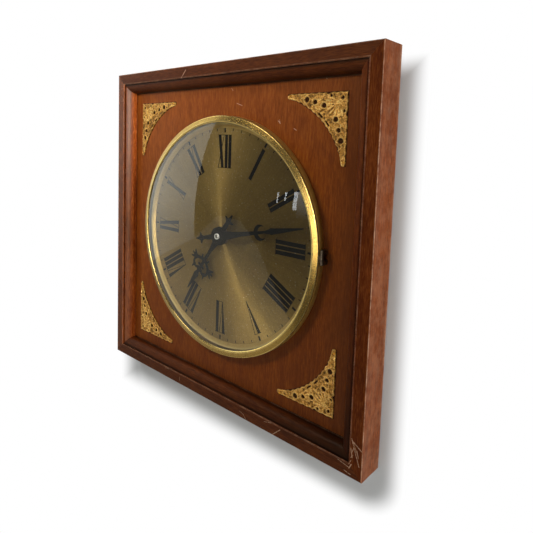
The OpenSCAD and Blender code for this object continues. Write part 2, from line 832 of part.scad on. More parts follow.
module hour_hand_outline() {
    cross = 0.478 * hour_len;
    rejoin = 0.667 * hour_len;
    scroll = 0.0667 * hour_len;
    reach = 0.181 * hour_len;
    tail = 0.29 * hour_len;
    bud = 0.0377 * hour_len;
    half = 0.0493 * hour_len;
    circle(hour_boss_r);
    translate([-stem_w / 2, 0]) square([stem_w, rejoin]);
    polygon([[half, 0.7 * hour_boss_r], [0, 2.1 * hour_boss_r], [-half, 0.7 * hour_boss_r]]);
    for (side = [0, 1]) mirror([side, 0]) {
        translate([1.13 * scroll, cross + 1.2 * scroll]) arc_band(scroll, 0.8 * stem_w, -200, 95);
        translate([0, cross - 0.4 * stem_w]) square([reach, 0.8 * stem_w]);
        translate([reach, cross]) rotate(-90) trefoil(bud);
        translate([1.04 * scroll, cross + 2.17 * scroll]) circle(0.62 * stem_w, $fn = 24);
    }
    polygon([[0.4 * stem_w, rejoin - 1.8 * half], [half, rejoin + 0.9 * half], [0.1 * half, hour_len],
        [-0.1 * half, hour_len], [-half, rejoin + 0.9 * half], [-0.4 * stem_w, rejoin - 1.8 * half]]);
    translate([-stem_w / 2, -tail]) square([stem_w, tail]);
    translate([0, -tail]) rotate(180) trefoil(0.88 * bud);
}

module minute_hand_outline() {
    horns = 0.538 * minute_len;
    blade = 0.667 * minute_len;
    crescent = 0.0602 * minute_len;
    half = 0.0323 * minute_len;
    tail = 0.2366 * minute_len;
    bud = 0.014 * minute_len;
    circle(minute_boss_r);
    translate([-stem_w / 2, 0]) square([stem_w, blade]);
    polygon([[1.2 * half, 0.7 * minute_boss_r], [half, 2.3 * minute_boss_r], [0.33 * half, 0.66 * horns],
        [-0.33 * half, 0.66 * horns], [-half, 2.3 * minute_boss_r], [-1.2 * half, 0.7 * minute_boss_r]]);
    translate([0, horns]) arc_band(crescent, 0.8 * stem_w, -215, 35, 20);
    for (side = [0, 1]) mirror([side, 0]) {
        translate(polar(crescent, 35) + [0, horns]) circle(bud, $fn = 24);
        translate([0.87 * half, blade - 1.2 * half]) circle(bud, $fn = 24);
        translate([0, blade - 1.47 * half]) square([0.87 * half, 0.53 * half]);
    }
    polygon([[0.33 * half, blade - 1.33 * half], [half, blade + 0.67 * half], [0.1 * half, minute_len],
        [-0.1 * half, minute_len], [-half, blade + 0.67 * half], [-0.33 * half, blade - 1.33 * half]]);
    translate([-stem_w / 2, -tail]) square([stem_w, tail]);
    translate([0, -tail]) rotate(180) trefoil(2 * bud);
}

minute_turn = -6 * shown_minute;
hour_turn = -30 * shown_hour - shown_minute / 2;

module hour_hand() {
    color("#17120e") on_wall() rotate(hour_turn) translate([0, 0, z_hour_hand]) linear_extrude(hand_t)
        difference() {
            hour_hand_outline();
            circle(hour_tube_r + touch);
        }
}

module minute_hand() {
    color("#120e0b") on_wall() rotate(minute_turn) translate([0, 0, z_minute_hand]) linear_extrude(hand_t)
        difference() {
            minute_hand_outline();
            circle(minute_tube_r + touch);
        }
}

module hand_nut() {
    z0 = z_minute_hand + hand_t;
    color("silver") on_wall() tube(hand_nut_r, minute_tube_r + touch, z0, z0 + hand_nut_h);
}

// Toothed wheels

function involute(angle) = tan(angle) * 180 / PI - angle;

// Half the angle that a tooth fills at a radius
function half_tooth(n, m, radius) =
    let (pitch_r = n * m / 2, base_r = pitch_r * cos(pressure_angle))
    180 * tooth_share / n + involute(pressure_angle) - involute(acos(min(1, base_r / max(radius, base_r))));

// Outline with one tooth in the middle of the X axis
function gear_outline(n, m) =
    let (pitch_r = n * m / 2, root_r = pitch_r - dedendum * m, tip_r = pitch_r + addendum * m)
    let (base_r = pitch_r * cos(pressure_angle))
    let (rising = base_r > root_r ? [root_r, base_r, pitch_r, tip_r] : [root_r, pitch_r, tip_r])
    let (last = len(rising) - 1)
    [for (i = [0:n - 1]) each concat(
        [for (k = [0:last]) polar(rising[k], 360 * i / n - half_tooth(n, m, rising[k]))],
        [for (k = [last:-1:0]) polar(rising[k], 360 * i / n + half_tooth(n, m, rising[k]))])];

// A wheel whose tooth points along an angle
module toothed(n, m, tooth_dir, z0, z1) {
    translate([0, 0, z0]) linear_extrude(z1 - z0) rotate(tooth_dir) polygon(gear_outline(n, m));
}

// A wheel whose gap between teeth points along an angle
module gapped(n, m, gap_dir, z0, z1) {
    toothed(n, m, gap_dir + 180 / n, z0, z1);
}

module arbor(radius = arbor_r) {
    post([0, 0], radius, z_back_inner - pivot_depth, z_case_inner + pivot_depth);
}

function pinion_low(n) = layer(n) - pinion_extra;
function pinion_high(n) = layer(n) + wheel_t + pinion_extra;

module hour_wheel() {
    color("#e8e4d8") on_wall() difference() {
        union() {
            toothed(hour_n, hour_m, motion_dir, layer(0), layer(0) + wheel_t);
            post([0, 0], hour_tube_r, layer(0), z_hour_tube);
        }
        post([0, 0], minute_tube_r + run_play, 0, 2 * frame_depth);
    }
}

module center_wheel() {
    color("#d8d4c4") on_wall() difference() {
        union() {
            toothed(center_n, center_m, third_dir, layer(2), layer(2) + wheel_t);
            toothed(cannon_n, cannon_m, motion_dir, pinion_low(1), pinion_high(1));
            post([0, 0], minute_tube_r, layer(2), z_minute_tube);
        }
        post([0, 0], seconds_arbor_r + run_play, 0, 2 * frame_depth);
    }
}

module motion_wheel() {
    color("#e0dccc") on_wall() translate(motion_pos) {
        gapped(motion_n, cannon_m, motion_dir + 180, layer(1), layer(1) + wheel_t);
        gapped(motion_pinion_n, hour_m, motion_dir + 180, pinion_low(0), pinion_high(0));
        post([0, 0], arbor_r, wall_gap + 0.5, z_case_inner + pivot_depth);
    }
}

module set_knob() {
    z0 = wall_gap + 0.3;
    color("#33302c") on_wall() translate(motion_pos) difference() {
        union() {
            tube(knob_r - 0.4, arbor_r + touch, z0, z0 + knob_h);
            for (turn = [0:20:340]) rotate(turn) block([knob_r - 1, -0.4, z0], [knob_r, 0.4, z0 + knob_h]);
        }
        block([-knob_r, -0.5, z0 - 1], [knob_r, 0.5, z0 + 0.6]);
    }
}

module third_wheel() {
    color("#dcd8c8") on_wall() translate(third_pos) {
        gapped(third_pinion_n, center_m, third_dir + 180, pinion_low(2), pinion_high(2));
        toothed(third_n, third_m, third_dir + 180, layer(3), layer(3) + wheel_t);
        arbor();
    }
}

module seconds_wheel() {
    color("#e4e0d0") on_wall() {
        gapped(seconds_pinion_n, third_m, third_dir, pinion_low(3), pinion_high(3));
        toothed(seconds_n, seconds_m, inter_dir, layer(4), layer(4) + wheel_t);
        post([0, 0], seconds_arbor_r, z_back_inner - pivot_depth, z_seconds_end);
    }
}

module intermediate_wheel() {
    color("#dcd8c8") on_wall() translate(inter_pos) {
        gapped(inter_pinion_n, seconds_m, inter_dir + 180, pinion_low(4), pinion_high(4));
        toothed(inter_n, inter_m, rotor_dir, layer(5), layer(5) + wheel_t);
        arbor();
    }
}

module rotor_pinion() {
    color("#e8e4d8") on_wall() translate(rotor_pos) {
        gapped(rotor_n, inter_m, rotor_dir + 180, pinion_low(5), pinion_high(5));
        arbor();
    }
}

module rotor_magnet() {
    color("#55524e") on_wall() translate(rotor_pos)
        tube(magnet_r, arbor_r + touch, z_magnet, z_magnet + magnet_h);
}

// Case and electrical parts of the movement

module each_pivot(z0, z1) {
    for (at = [third_pos, motion_pos, inter_pos, rotor_pos]) post(at, arbor_r + run_play, z0, z1);
}

module battery_bay() {
    rotate([0, 90, 0]) translate([-z_cell, bay_mid, 0])
        cylinder(r = cell_r + cell_play, h = case_w - 2 * case_wall, center = true);
    block([-case_w / 2 + case_wall, bay_top - bay_h, -1], [case_w / 2 - case_wall, bay_top, z_cell]);
}

module movement_front_case() {
    inner_x = case_w / 2 - case_wall;
    color("#262422") on_wall() difference() {
        union() {
            block([-case_w / 2, case_bottom, z_back_inner], [case_w / 2, case_above, z_case]);
            block([-case_w / 2, case_bottom, wall_gap], [case_w / 2, bay_top + case_wall, z_case]);
            post([0, 0], bush_r, z_case_inner, z_bush);
        }
        block([-inner_x, -case_below, 0], [inner_x, case_above - case_wall, z_case_inner]);
        battery_bay();
        post([0, 0], hour_tube_r + run_play, 0, 2 * frame_depth);
        each_pivot(0, z_case_inner + pivot_depth + 0.1);
    }
}

module movement_back_case() {
    post_at = [[core_x - core_w / 2 - 2, core_y[1] - 1.4], [core_x, core_y[0] + 1.2]];
    well_r = knob_r + knob_play;
    z_well = wall_gap + knob_well;
    color("#2e2b28") on_wall() difference() {
        union() {
            block([-case_w / 2, -case_below, wall_gap], [case_w / 2, case_above, z_back_inner]);
            post(motion_pos, well_r + well_floor, wall_gap, z_well + well_floor);
            for (at = post_at) post(at, 1, wall_gap, z_stator);
        }
        post(motion_pos, well_r, 0, z_well);
        each_pivot(z_back_inner - pivot_depth - 0.1, frame_depth);
        post([0, 0], seconds_arbor_r + run_play, z_back_inner - pivot_depth - 0.1, frame_depth);
    }
}

module mounting_washer() {
    color("#7a6a50") on_wall() tube(washer_r, bush_r + touch, z_dial, z_dial + washer_t);
}

module mounting_nut() {
    z0 = z_dial + washer_t;
    color("#c0a050") on_wall() difference() {
        translate([0, 0, z0]) cylinder(r = nut_flats / sqrt(3), h = nut_t, $fn = 6);
        post([0, 0], bush_r + touch, 0, 2 * frame_depth);
    }
}

module stator() {
    low = yoke_low;
    left = rotor_pos[0] - magnet_r - air_gap - 1.4;
    inner = motion_pos[0] + arbor_r + 1.2;
    color("#8c8a86") on_wall() translate([0, 0, z_stator]) linear_extrude(stator_t) difference() {
        union() {
            translate([left, low]) square([core_x + core_w / 2 - left, core_y[1] - low]);
            translate([core_x - core_w / 2, core_y[0]]) square([core_w, core_y[1] - core_y[0]]);
            translate([inner, core_y[0]]) square([core_x - inner, yoke_w]);
            translate([inner, core_y[0]]) square([2.2, low - core_y[0] + 1]);
        }
        translate(rotor_pos) circle(magnet_r + air_gap, $fn = 48);
    }
}

module motor_coil() {
    z_mid = z_stator + stator_t / 2;
    y_mid = yoke_low - coil_clear - coil_len / 2;
    color("#a8541e") on_wall() translate([core_x, y_mid, z_mid]) difference() {
        rotate([90, 0, 0]) union() {
            cylinder(r = coil_r - 0.4, h = coil_len, center = true, $fn = 48);
            for (side = [-1, 1]) translate([0, 0, side * (coil_len - 0.6) / 2])
                cylinder(r = coil_r, h = 0.6, center = true, $fn = 48);
        }
        cube([core_w + 2 * touch, through, stator_t + 2 * touch], center = true);
    }
}

board_x = [-case_w / 2 + case_wall + case_clear, -9];
board_y = [4, case_above - case_wall - case_clear];
board_t = 0.8;
crystal_r = 1;

module circuit_board() {
    color("#2f5a34") on_wall() difference() {
        block([board_x[0], board_y[0], z_back_inner], [board_x[1], board_y[1], z_back_inner + board_t]);
        post([(board_x[0] + board_x[1]) / 2, board_y[1] - 2.5], 0.8, 0, frame_depth);
    }
}

module quartz_crystal() {
    at = [board_x[0] + 3, board_y[0] + 3, z_back_inner + board_t + crystal_r];
    color("#c8c8c4") on_wall() translate(at)
        rotate([-90, 0, 0]) cylinder(r = crystal_r, h = 6, $fn = 32);
}

module battery_cell() {
    button_len = 1.2;
    body_len = cell_len - button_len;
    color("#3a6a4a") on_wall() translate([-cell_len / 2, bay_mid, z_cell]) rotate([0, 90, 0]) {
        cylinder(r = cell_r, h = body_len);
        cylinder(r = 2.7, h = cell_len);
    }
}

module contact(side) {
    seat = case_w / 2 - case_wall;
    inner = cell_len / 2 + touch;
    color("#c8c4b8") on_wall() mirror([side, 0, 0]) {
        block([seat - contact_t, bay_mid - 4, z_cell - 5], [seat, bay_mid + 4, z_cell + 5]);
        block([inner, bay_mid - 2.5, z_cell - 2.5], [seat - contact_t, bay_mid + 2.5, z_cell - 2.1]);
        block([inner, bay_mid - 2.5, z_cell - 2.5], [inner + contact_t, bay_mid + 2.5, z_cell + 2.5]);
    }
}

module battery_contact_positive() { contact(0); }
module battery_contact_negative() { contact(1); }

top_rail();
bottom_rail();
left_rail();
right_rail();
mitre_nails();
face_panel();
panel_brads();
hanging_cleat();
hanger_plate();
hanger_screws();
corner_ornament_upper_right();
corner_ornament_upper_left();
corner_ornament_lower_left();
corner_ornament_lower_right();
ornament_pins();
dial_plate();
dial_print();
dial_brads();
base_ring();
base_ring_screws();
catch_spring();
hinge_leaf_fixed();
hinge_pin();
bezel_ring();
glass_lens();
lens_retainer();
hinge_leaf_door();
hour_hand();
minute_hand();
hand_nut();
movement_front_case();
movement_back_case();
mounting_washer();
mounting_nut();
hour_wheel();
center_wheel();
motion_wheel();
set_knob();
third_wheel();
seconds_wheel();
intermediate_wheel();
rotor_pinion();
rotor_magnet();
stator();
motor_coil();
circuit_board();
quartz_crystal();
battery_cell();
battery_contact_positive();
battery_contact_negative();
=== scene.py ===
"""Looks of a square wood-framed wall clock with a hinged glass door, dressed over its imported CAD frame."""

import functools
import math

import bmesh
import bpy
import numpy as np
from bpy.props import FloatProperty, FloatVectorProperty, PointerProperty
from mathutils import Matrix, Vector


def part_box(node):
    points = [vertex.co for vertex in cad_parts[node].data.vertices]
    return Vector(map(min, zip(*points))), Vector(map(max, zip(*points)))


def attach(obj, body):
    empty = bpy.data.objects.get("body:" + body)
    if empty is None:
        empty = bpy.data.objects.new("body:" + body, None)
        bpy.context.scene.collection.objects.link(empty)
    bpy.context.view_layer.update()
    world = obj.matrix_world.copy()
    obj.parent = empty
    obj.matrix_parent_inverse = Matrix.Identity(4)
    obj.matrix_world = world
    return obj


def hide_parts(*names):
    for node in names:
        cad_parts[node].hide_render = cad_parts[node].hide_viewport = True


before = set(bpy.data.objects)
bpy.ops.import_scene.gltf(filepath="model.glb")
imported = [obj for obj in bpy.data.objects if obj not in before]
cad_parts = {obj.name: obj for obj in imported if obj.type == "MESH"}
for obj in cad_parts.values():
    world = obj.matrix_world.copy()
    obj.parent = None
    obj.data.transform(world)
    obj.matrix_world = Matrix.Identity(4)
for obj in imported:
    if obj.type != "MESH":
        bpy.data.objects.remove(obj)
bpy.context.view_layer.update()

bl_info = {
    "name": "Wood-framed wall clock",
    "version": (1, 0, 0),
    "blender": (4, 5, 0),
    "location": "3D View > Sidebar > Clock",
    "description": "Builds the visible pieces and finishes of a square wall clock over its solid frame",
    "category": "Object",
}

MM = 0.001
AXIS_Z = sum(corner.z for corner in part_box("dial_plate")) / 2
FRAME_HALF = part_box("top_rail")[1].x / MM
FRAME_DEPTH = -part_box("top_rail")[0].y / MM
PANEL_Z = -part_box("face_panel")[0].y / MM
NODES_IN_ROW, NODE_WIDTH, NODE_HEIGHT = 12, 180, 220


def tint(code):
    """A colour written as a hex code, as linear red, green and blue."""
    parts = [int(code[i:i + 2], 16) / 255 for i in (1, 3, 5)]
    return tuple(p / 12.92 if p <= 0.04045 else ((p + 0.055) / 1.055) ** 2.4 for p in parts)


def colour(name, code, note):
    """A colour that a user may change."""
    return FloatVectorProperty(name=name, description=note, subtype="COLOR", size=3, min=0, max=1,
                               default=tint(code))


def length(name, millimetres, note):
    """A length that a user may change, given in millimetres."""
    return FloatProperty(name=name, description=note, subtype="DISTANCE", unit="LENGTH", min=0,
                         precision=5, default=millimetres * MM)


def share(name, amount, note):
    """A share from none to all that a user may change."""
    return FloatProperty(name=name, description=note, subtype="FACTOR", min=0, max=1, default=amount)


class ClockShapes(bpy.types.PropertyGroup):
    """Small forms of the clock that the solids leave plain."""

    arris: length("Moulding arris", 0.35, "Rounding of the moulding's inner arrises")
    mitre_gap: length("Mitre gap", 0.05, "Half the hairline where two rails meet")
    scallop: length("Scallop depth", 0.45, "Depth of the scallops along an ornament's edges")
    filigree: length("Filigree height", 0.75, "Height of the raised scrolls on an ornament")
    hand_bevel: length("Hand bevel", 0.3, "Width of the bevel round the hands")
    brass_arris: length("Brass arris", 0.3, "Rounding of the brass rings' edges")


class ClockFinishes(bpy.types.PropertyGroup):
    """Colours and wear of the clock's finishes."""

    frame_dark: colour("Frame dark", "#3d1504", "Darkest grain of the frame's wood")
    frame_mid: colour("Frame brown", "#682c0b", "Main brown of the frame's wood")
    frame_light: colour("Frame light", "#88481c", "Lightest grain of the frame's wood")
    panel_dark: colour("Panel dark", "#602806", "Darkest grain of the panel's veneer")
    panel_mid: colour("Panel brown", "#823f0c", "Main brown of the panel's veneer")
    panel_light: colour("Panel light", "#99541a", "Lightest grain of the panel's veneer")
    bare_wood: colour("Bare wood", "#bf9c80", "Wood that shows where the lacquer is worn or scratched")
    gilt: colour("Gilt", "#e8a846", "Metal of the corner ornaments")
    gilt_recess: colour("Gilt recess", "#331803", "Patina in the recesses of the ornaments")
    brass: colour("Brass", "#dfbe6c", "Polished brass of the door's rings")
    tarnish: colour("Tarnish", "#6e4d1e", "Tarnish spots on the brass")
    dial: colour("Dial", "#8f7640", "Brushed metal of the dial")
    ink: colour("Ink", "#060606", "Printed numerals and ticks")
    hand: colour("Hands", "#08090a", "Lacquer of the hands")
    wear: share("Wear", 0.7, "Wear along the frame's edges")
    scratches: share("Scratches", 0.7, "Scratches on the frame's face")
    tarnish_amount: share("Tarnish amount", 0.55, "How much of the brass is spotted")


def power(name, watts, note):
    """A lamp's power that a user may change."""
    return FloatProperty(name=name, description=note, unit="POWER", min=0, default=watts)


class ClockStage(bpy.types.PropertyGroup):
    """Light round the clock."""

    key_power: power("Key light", 2.4, "Power of the soft light from the upper left")
    side_power: power("Side light", 15, "Power of the soft light from the right")
    dial_power: power("Dial light", 1.6, "Power of the small light that draws the dial's rays")
    back_power: power("Back light", 6, "Power of the soft light behind the case")
    room: FloatProperty(name="Room light", description="Strength of the light from all round", min=0, default=0.05)


def arithmetic(operation, flipped=False):
    """A method that lays out one step of arithmetic, on vectors where the other side is one."""
    def step(self, other=0.0):
        lay = self.bench.vector if isinstance(other, tuple) else self.bench.math
        return lay(operation, *((other, self) if flipped else (self, other)))
    return step


class Signal:
    """A node's output, which takes part in arithmetic by way of further nodes."""

    def __init__(self, bench, socket):
        self.bench, self.socket = bench, socket

    __add__, __sub__, __mul__, __pow__ = map(arithmetic, ("ADD", "SUBTRACT", "MULTIPLY", "POWER"))
    __rsub__ = arithmetic("SUBTRACT", True)
    __abs__ = arithmetic("ABSOLUTE")
    root = arithmetic("SQRT")

    def fit(self, low, high, to_low=0.0, to_high=1.0):
        """The value carried from one span to another, held inside it."""
        return self.bench.add("MapRange", Value=self, From_Min=low, From_Max=high, To_Min=to_low, To_Max=to_high)

    def swing(self, to_low, to_high):
        """The middle span of a noise carried to another span."""
        return self.fit(0.3, 0.7, to_low, to_high)

    def noise(self, scale, detail=3.0, roughness=0.55, distortion=0.0):
        return self.bench.add("TexNoise", Vector=self, Scale=scale, Detail=detail, Roughness=roughness,
                              Distortion=distortion)

    def parts(self):
        return [Signal(self.bench, each) for each in self.bench.node("SeparateXYZ", Vector=self).outputs]


class Finish:
    """Lays out the nodes of one procedural material, or of the world."""

    def __init__(self, name, kind="materials"):
        self.home = getattr(bpy.data, kind).new(name)
        self.home.use_nodes = True
        self.tree = self.home.node_tree
        self.tree.nodes.clear()

    def node(self, kind, settings=(), inputs=(), **sockets):
        """A node with its settings made, and its inputs set or linked by number or by name."""
        node = self.tree.nodes.new("ShaderNode" + kind)
        row, column = divmod(len(self.tree.nodes), NODES_IN_ROW)
        node.location = (NODE_WIDTH * column, -NODE_HEIGHT * row)
        for key, value in dict(settings).items():
            setattr(node, key, value)
        named = {key.replace("_", " "): value for key, value in sockets.items()}
        for key, value in {**dict(inputs), **named}.items():
            socket = node.inputs[key]
            if isinstance(value, Signal):
                self.tree.links.new(value.socket, socket)
            else:
                socket.default_value = (*value, 1) if socket.type == "RGBA" else value
        return node

    def add(self, kind, settings=(), inputs=(), out=0, **sockets):
        """One output of a new node."""
        return Signal(self, self.node(kind, settings, inputs, **sockets).outputs[out])

    def where(self):
        """Place in the row frame, in millimetres."""
        return self.add("TexCoord", out="Object") * (1 / MM, 1 / MM, 1 / MM)

    def about_axis(self):
        """Place in millimetres, with its height counted from the dial's axis."""
        return self.where() + (0, 0, -AXIS_Z / MM)

    def vector(self, operation, first, second=(0, 0, 0), out=0):
        return self.add("VectorMath", {"operation": operation}, {0: first, 1: second}, out)

    def scaled(self, vector, amount):
        return self.add("VectorMath", {"operation": "SCALE"}, {0: vector}, Scale=amount)

    def math(self, operation, first, second=0.0, clamp=False):
        return self.add("Math", {"operation": operation, "use_clamp": clamp}, {0: first, 1: second})

    def most(self, values):
        """The largest of several values."""
        return functools.reduce(lambda one, other: self.math("MAXIMUM", one, other), values)

    def blend(self, amount, first, second):
        return self.add("Mix", {"data_type": "RGBA"}, {0: amount, 6: first, 7: second}, 2)

    def stains_and_shades(self, tone, *layers):
        """A tone that turns to each layer's colour by the layer's share, as its value goes from low to high."""
        # Layers serve real stains and grain, and also painted shade and painted highlights.
        for other, value, low, high, most in layers:
            tone = self.blend(value.fit(low, high, 0.0, most), tone, other)
        return tone

    def attribute(self, name):
        return self.add("Attribute", {"attribute_name": name}, out="Fac")

    def mark(self, face, x0, z0, x1, z1, half):
        """How far a place on the clock's face lies on a straight mark."""
        run = Vector((x1 - x0, 0, z1 - z0))
        reach = face + (-x0, 0, -z0)
        along = self.vector("DOT_PRODUCT", reach, run / run.length_squared, 1)
        nearest = self.scaled(run, self.math("ADD", along, 0, True))
        return self.vector("DISTANCE", reach, nearest, 1).fit(half, 0.3 * half)

    def bump(self, height, strength, distance):
        return self.add("Bump", Height=height, Strength=strength, Distance=distance)

    def seen(self):
        """Whether a ray comes from the camera, straight or by way of a glossy or clear surface."""
        return self.most([self.add("LightPath", out=kind)
                          for kind in ("Is Camera Ray", "Is Glossy Ray", "Is Transmission Ray")])

    def mix(self, amount, first, second):
        return self.add("MixShader", (), {0: amount, 1: first, 2: second})

    def surface(self, **sockets):
        return self.output(self.add("BsdfPrincipled", **sockets))

    def output(self, shader, kind="Material"):
        self.node("Output" + kind, Surface=shader)
        return self.home


def darker(rgb, amount):
    return tuple(amount * c for c in rgb)


# Scratches: start and end on the clock's face, across and up from the dial's axis, and half the width, in mm.
FACE_SCARS = (
    (141.2, -121.1, 144.7, -130.9, 0.49), (144.7, -130.9, 147.6, -138.8, 0.43),
    (141.7, -122.4, 149.0, -126.9, 0.58), (140.8, -128.0, 142.1, -134.5, 0.46),
    (142.6, -132.5, 141.1, -134.9, 0.43), (131.2, -141.0, 139.4, -142.6, 0.38),
    (140.0, -143.2, 141.7, -139.7, 0.52), (136.4, -146.5, 141.2, -147.4, 0.41),
    (142.6, -123.6, 146.6, -131.6, 0.29), (143.2, -126.4, 141.6, -131.6, 0.32),
    (145.6, -128.0, 146.9, -133.2, 0.29), (139.8, -140.2, 141.4, -136.6, 0.32), (78.8, -142.3, 71.1, -149.6, 0.43),
    (-42.2, 146.5, -48.4, 139.6, 0.52), (-43.3, -142.5, -43.2, -146.8, 0.24), (35.3, -144.6, 39.5, -145.6, 0.24),
    (39.5, -145.6, 43.1, -149.4, 0.3), (62.5, -142.4, 69.7, -140.5, 0.26), (-65.5, -141.3, -59.3, -140.6, 0.22),
)
PANEL_SCARS = (
    (12.6, 115.5, 19.1, 113.3, 0.36), (58.0, 100.2, 60.1, 98.0, 0.4), (59.2, 100.8, 59.7, 98.6, 0.36),
    (73.6, 93.9, 75.9, 92.7, 0.4), (100.2, 130.6, 101.4, 129.5, 0.4), (6.0, 128.6, 7.8, 126.4, 0.3),
)


def wood_finish(name, grain, dark, mid, light, figure=0.3, lacquer=0.42, bare=None, wear=0.0, scratches=0.0,
                glaze_and_shade_share=0.0, corners=None, clear=0.0, gloss=0.16, scars=FACE_SCARS, painted_sheen=0.0):
    """Lacquered mahogany whose grain runs along one axis of the row frame."""
    bench = Finish(name)
    place = bench.where()
    face = bench.about_axis() * (1, 0, 1)
    side, _, up = face.parts()
    front = place.parts()[1].fit(-PANEL_Z + 1, -PANEL_Z + 0.4)

    def drawn(along, across):
        """The place, drawn out along the grain."""
        return place * ((along, across, across) if grain == "X" else (across, across, along))

    sway = drawn(0.005, 0.024).noise(1.0, 2)
    swayed = bench.vector("ADD", drawn(0.05, 1), sway * (6, 6, 6))
    bands = swayed.noise(0.10, 3, 0.6)
    fibre = swayed.noise(0.75, 4, 0.7)
    flecks = drawn(0.15, 1.3).noise(1.0, 3, 0.6)
    pore = drawn(0.35, 2.6).noise(1.0, 2).fit(0.62, 0.72)
    mottle = drawn(0.03, 0.1).noise(1.0, 4, 0.65, 0.4)
    grime = place.noise(0.02, 3)
    rough = grime.swing(lacquer - 0.06, lacquer + 0.12)
    tone = bench.blend(figure, mid, bench.stains_and_shades(dark, (light, bands, 0.34, 0.66, 1)))
    tone = bench.stains_and_shades(tone, (darker(dark, 0.8), fibre, 0.4, 0.75, 0.5), (light, flecks, 0.5, 0.68, 0.6),
                        (dark, flecks, 0.5, 0.32, 0.6), (darker(dark, 0.4), pore, 0, 1, 0.5),
                        (dark, mottle, 0.5, 0.68, 0.5), (darker(mid, 0.5), grime, 0.5, 0.75, 0.3))
    if corners:
        edge, leg, bend, sweep = corners
        # The ornaments' footprint, under which the panel takes a painted shade so that their holes show dark.
        reaches = [edge - abs(each) for each in (side, up)]
        bow = ((bend - reaches[0]) ** 2 + (bend - reaches[1]) ** 2).root()
        under = bow.fit(sweep - 0.8, sweep - 0.1)
        for each in reaches:
            under = under * (each.fit(-0.5, 0.1) * each.fit(leg, leg - 0.6))
        # Painted shade: the panel's tone darker towards the lower right, as the light falls off.
        tone = bench.blend((up - side).fit(-130, 130), tone * (0.62, 0.58, 0.5), tone)
        # Painted shade: the panel darker along the rails, most of all by the right rail.
        out = bench.most([abs(side), abs(up)])
        painted_rail_shade = bench.most([out.fit(120, 134, 0, 0.4), side.fit(104, 132, 0, 0.62)])
        tone = bench.blend(painted_rail_shade, tone, darker(dark, 0.3))
        # Painted shade: the panel almost black under the ornaments.
        tone = bench.blend(under * (front * 0.94), tone, darker(dark, 0.12))
    bare_and_sheen_layers = []
    if wear:
        glaze_and_shade = bench.attribute("glaze_and_shade")
        # Dark glaze and painted shade on the moulding, by each rail's share.
        tone = bench.stains_and_shades(tone, (darker(dark, 0.22), glaze_and_shade, clear, 1, glaze_and_shade_share))
        # Painted light on the left rail's moulding: a strip of it painted much lighter, and a painted sheen of grey
        # haze, paler towards the top.
        if painted_sheen:
            rounded = glaze_and_shade.fit(0.25, 0.32) * glaze_and_shade.fit(0.55, 0.36)
            painted_light_strip = side.fit(-133.0, -131.0) * up.fit(-90, 40)
            tone = bench.blend(rounded * painted_light_strip, tone, tone * (2.6, 3.0, 3.2))
            painted_sheen_haze = bench.stains_and_shades(tint("#4f4840"), (tint("#8d8480"), up, 0, 100, 1))
            tone = bench.blend(rounded * side.fit(-131.0, -133.4, 0, painted_sheen), tone, painted_sheen_haze)
        # Painted shade: the moulding's recess darker towards the lower right inner corner.
        painted_corner_shade = (side - up).fit(140, 255, 0, 0.8) * glaze_and_shade.fit(0.25, 0.32)
        tone = bench.blend(painted_corner_shade, tone, darker(dark, 0.2))
        rubbed = place.noise(0.11, 4, 0.7)
        bare_and_sheen_layers.append(bench.attribute("edge") * rubbed.fit(0.42, 0.62, 0.25, 1.0) * wear)
    if scratches:
        chipped = place.noise(0.7, 3, 0.7).fit(0.36, 0.52)
        lines = bench.most([bench.mark(face, *scar) for scar in scars])
        bare_and_sheen_layers.append(lines * chipped * (front * scratches))
    if bare_and_sheen_layers:
        wear_and_sheen = bench.most(bare_and_sheen_layers)
        tone = bench.blend(wear_and_sheen, tone, bare)
        rough = rough + wear_and_sheen * 0.25
    return bench.surface(Base_Color=tone, Roughness=rough, Specular_IOR_Level=gloss, Specular_Tint=(1.0, 0.78, 0.5),
                         Coat_Weight=0.19 * gloss, Coat_Roughness=0.2,
                         Normal=bench.bump(fibre * 0.35 - pore, 0.22, 0.00012))


def metal_finish(name, base, stain, spots=0.3, rough=0.22, scale=0.12, grain=None, tooth=0.1, metal=1.0,
                 turned_ring=False, shine=0.0):
    """Worn metal with stains, fine scratches and, where asked, brush lines along one axis or a ring's polish, with
    its rims paler as a painted highlight.
    """
    bench = Finish(name)
    place = bench.where()
    cloud = place.noise(scale, 5, 0.65)
    speck = place.noise(scale * 6, 4, 0.7)
    stained = cloud.fit(0.5, 0.72) * speck.fit(0.42, 0.66) * spots
    tone = bench.blend(stained, base, stain)
    tone = bench.stains_and_shades(tone, (stain, speck, 0.35, 0.7, 0.3 if turned_ring else 0.14))
    lines = (place * (grain or (1.2, 1.2, 1.2))).noise(1.5, 3, 0.6)
    roughness = lines.swing(rough - 0.05, rough + 0.08) + stained * 0.35
    if turned_ring:
        polish = bench.attribute("polish")
        # The rims painted paler as a painted highlight; the band between them darker, partly duller brass and partly
        # painted shade; the walls a little darker.
        dull_and_shaded, side, rim = (tone * each for each in ((0.54, 0.49, 0.4), (0.8, 0.74, 0.6), (1.0, 1.06, 1.3)))
        tone = bench.stains_and_shades(dull_and_shaded, (side, polish, -0.4, -1, 1), (rim, polish, 0, 1, 1))
        roughness = roughness - polish.fit(0, 1, shine, 0.1 + 0.4 * shine)
        pale = polish.fit(-1, -2)
        tone = bench.blend(pale, tone, tint("#c4ad72"))
        metal = polish.fit(-1, 0, 0.68 + 1.8 * shine, metal) - pale * 0.3
    return bench.surface(Base_Color=tone, Metallic=metal, Roughness=roughness,
                         Normal=bench.bump(lines, tooth, 0.00006))


def paler(rgb, amount, lift):
    return tuple(min(1, amount * c + lift) for c in rgb)


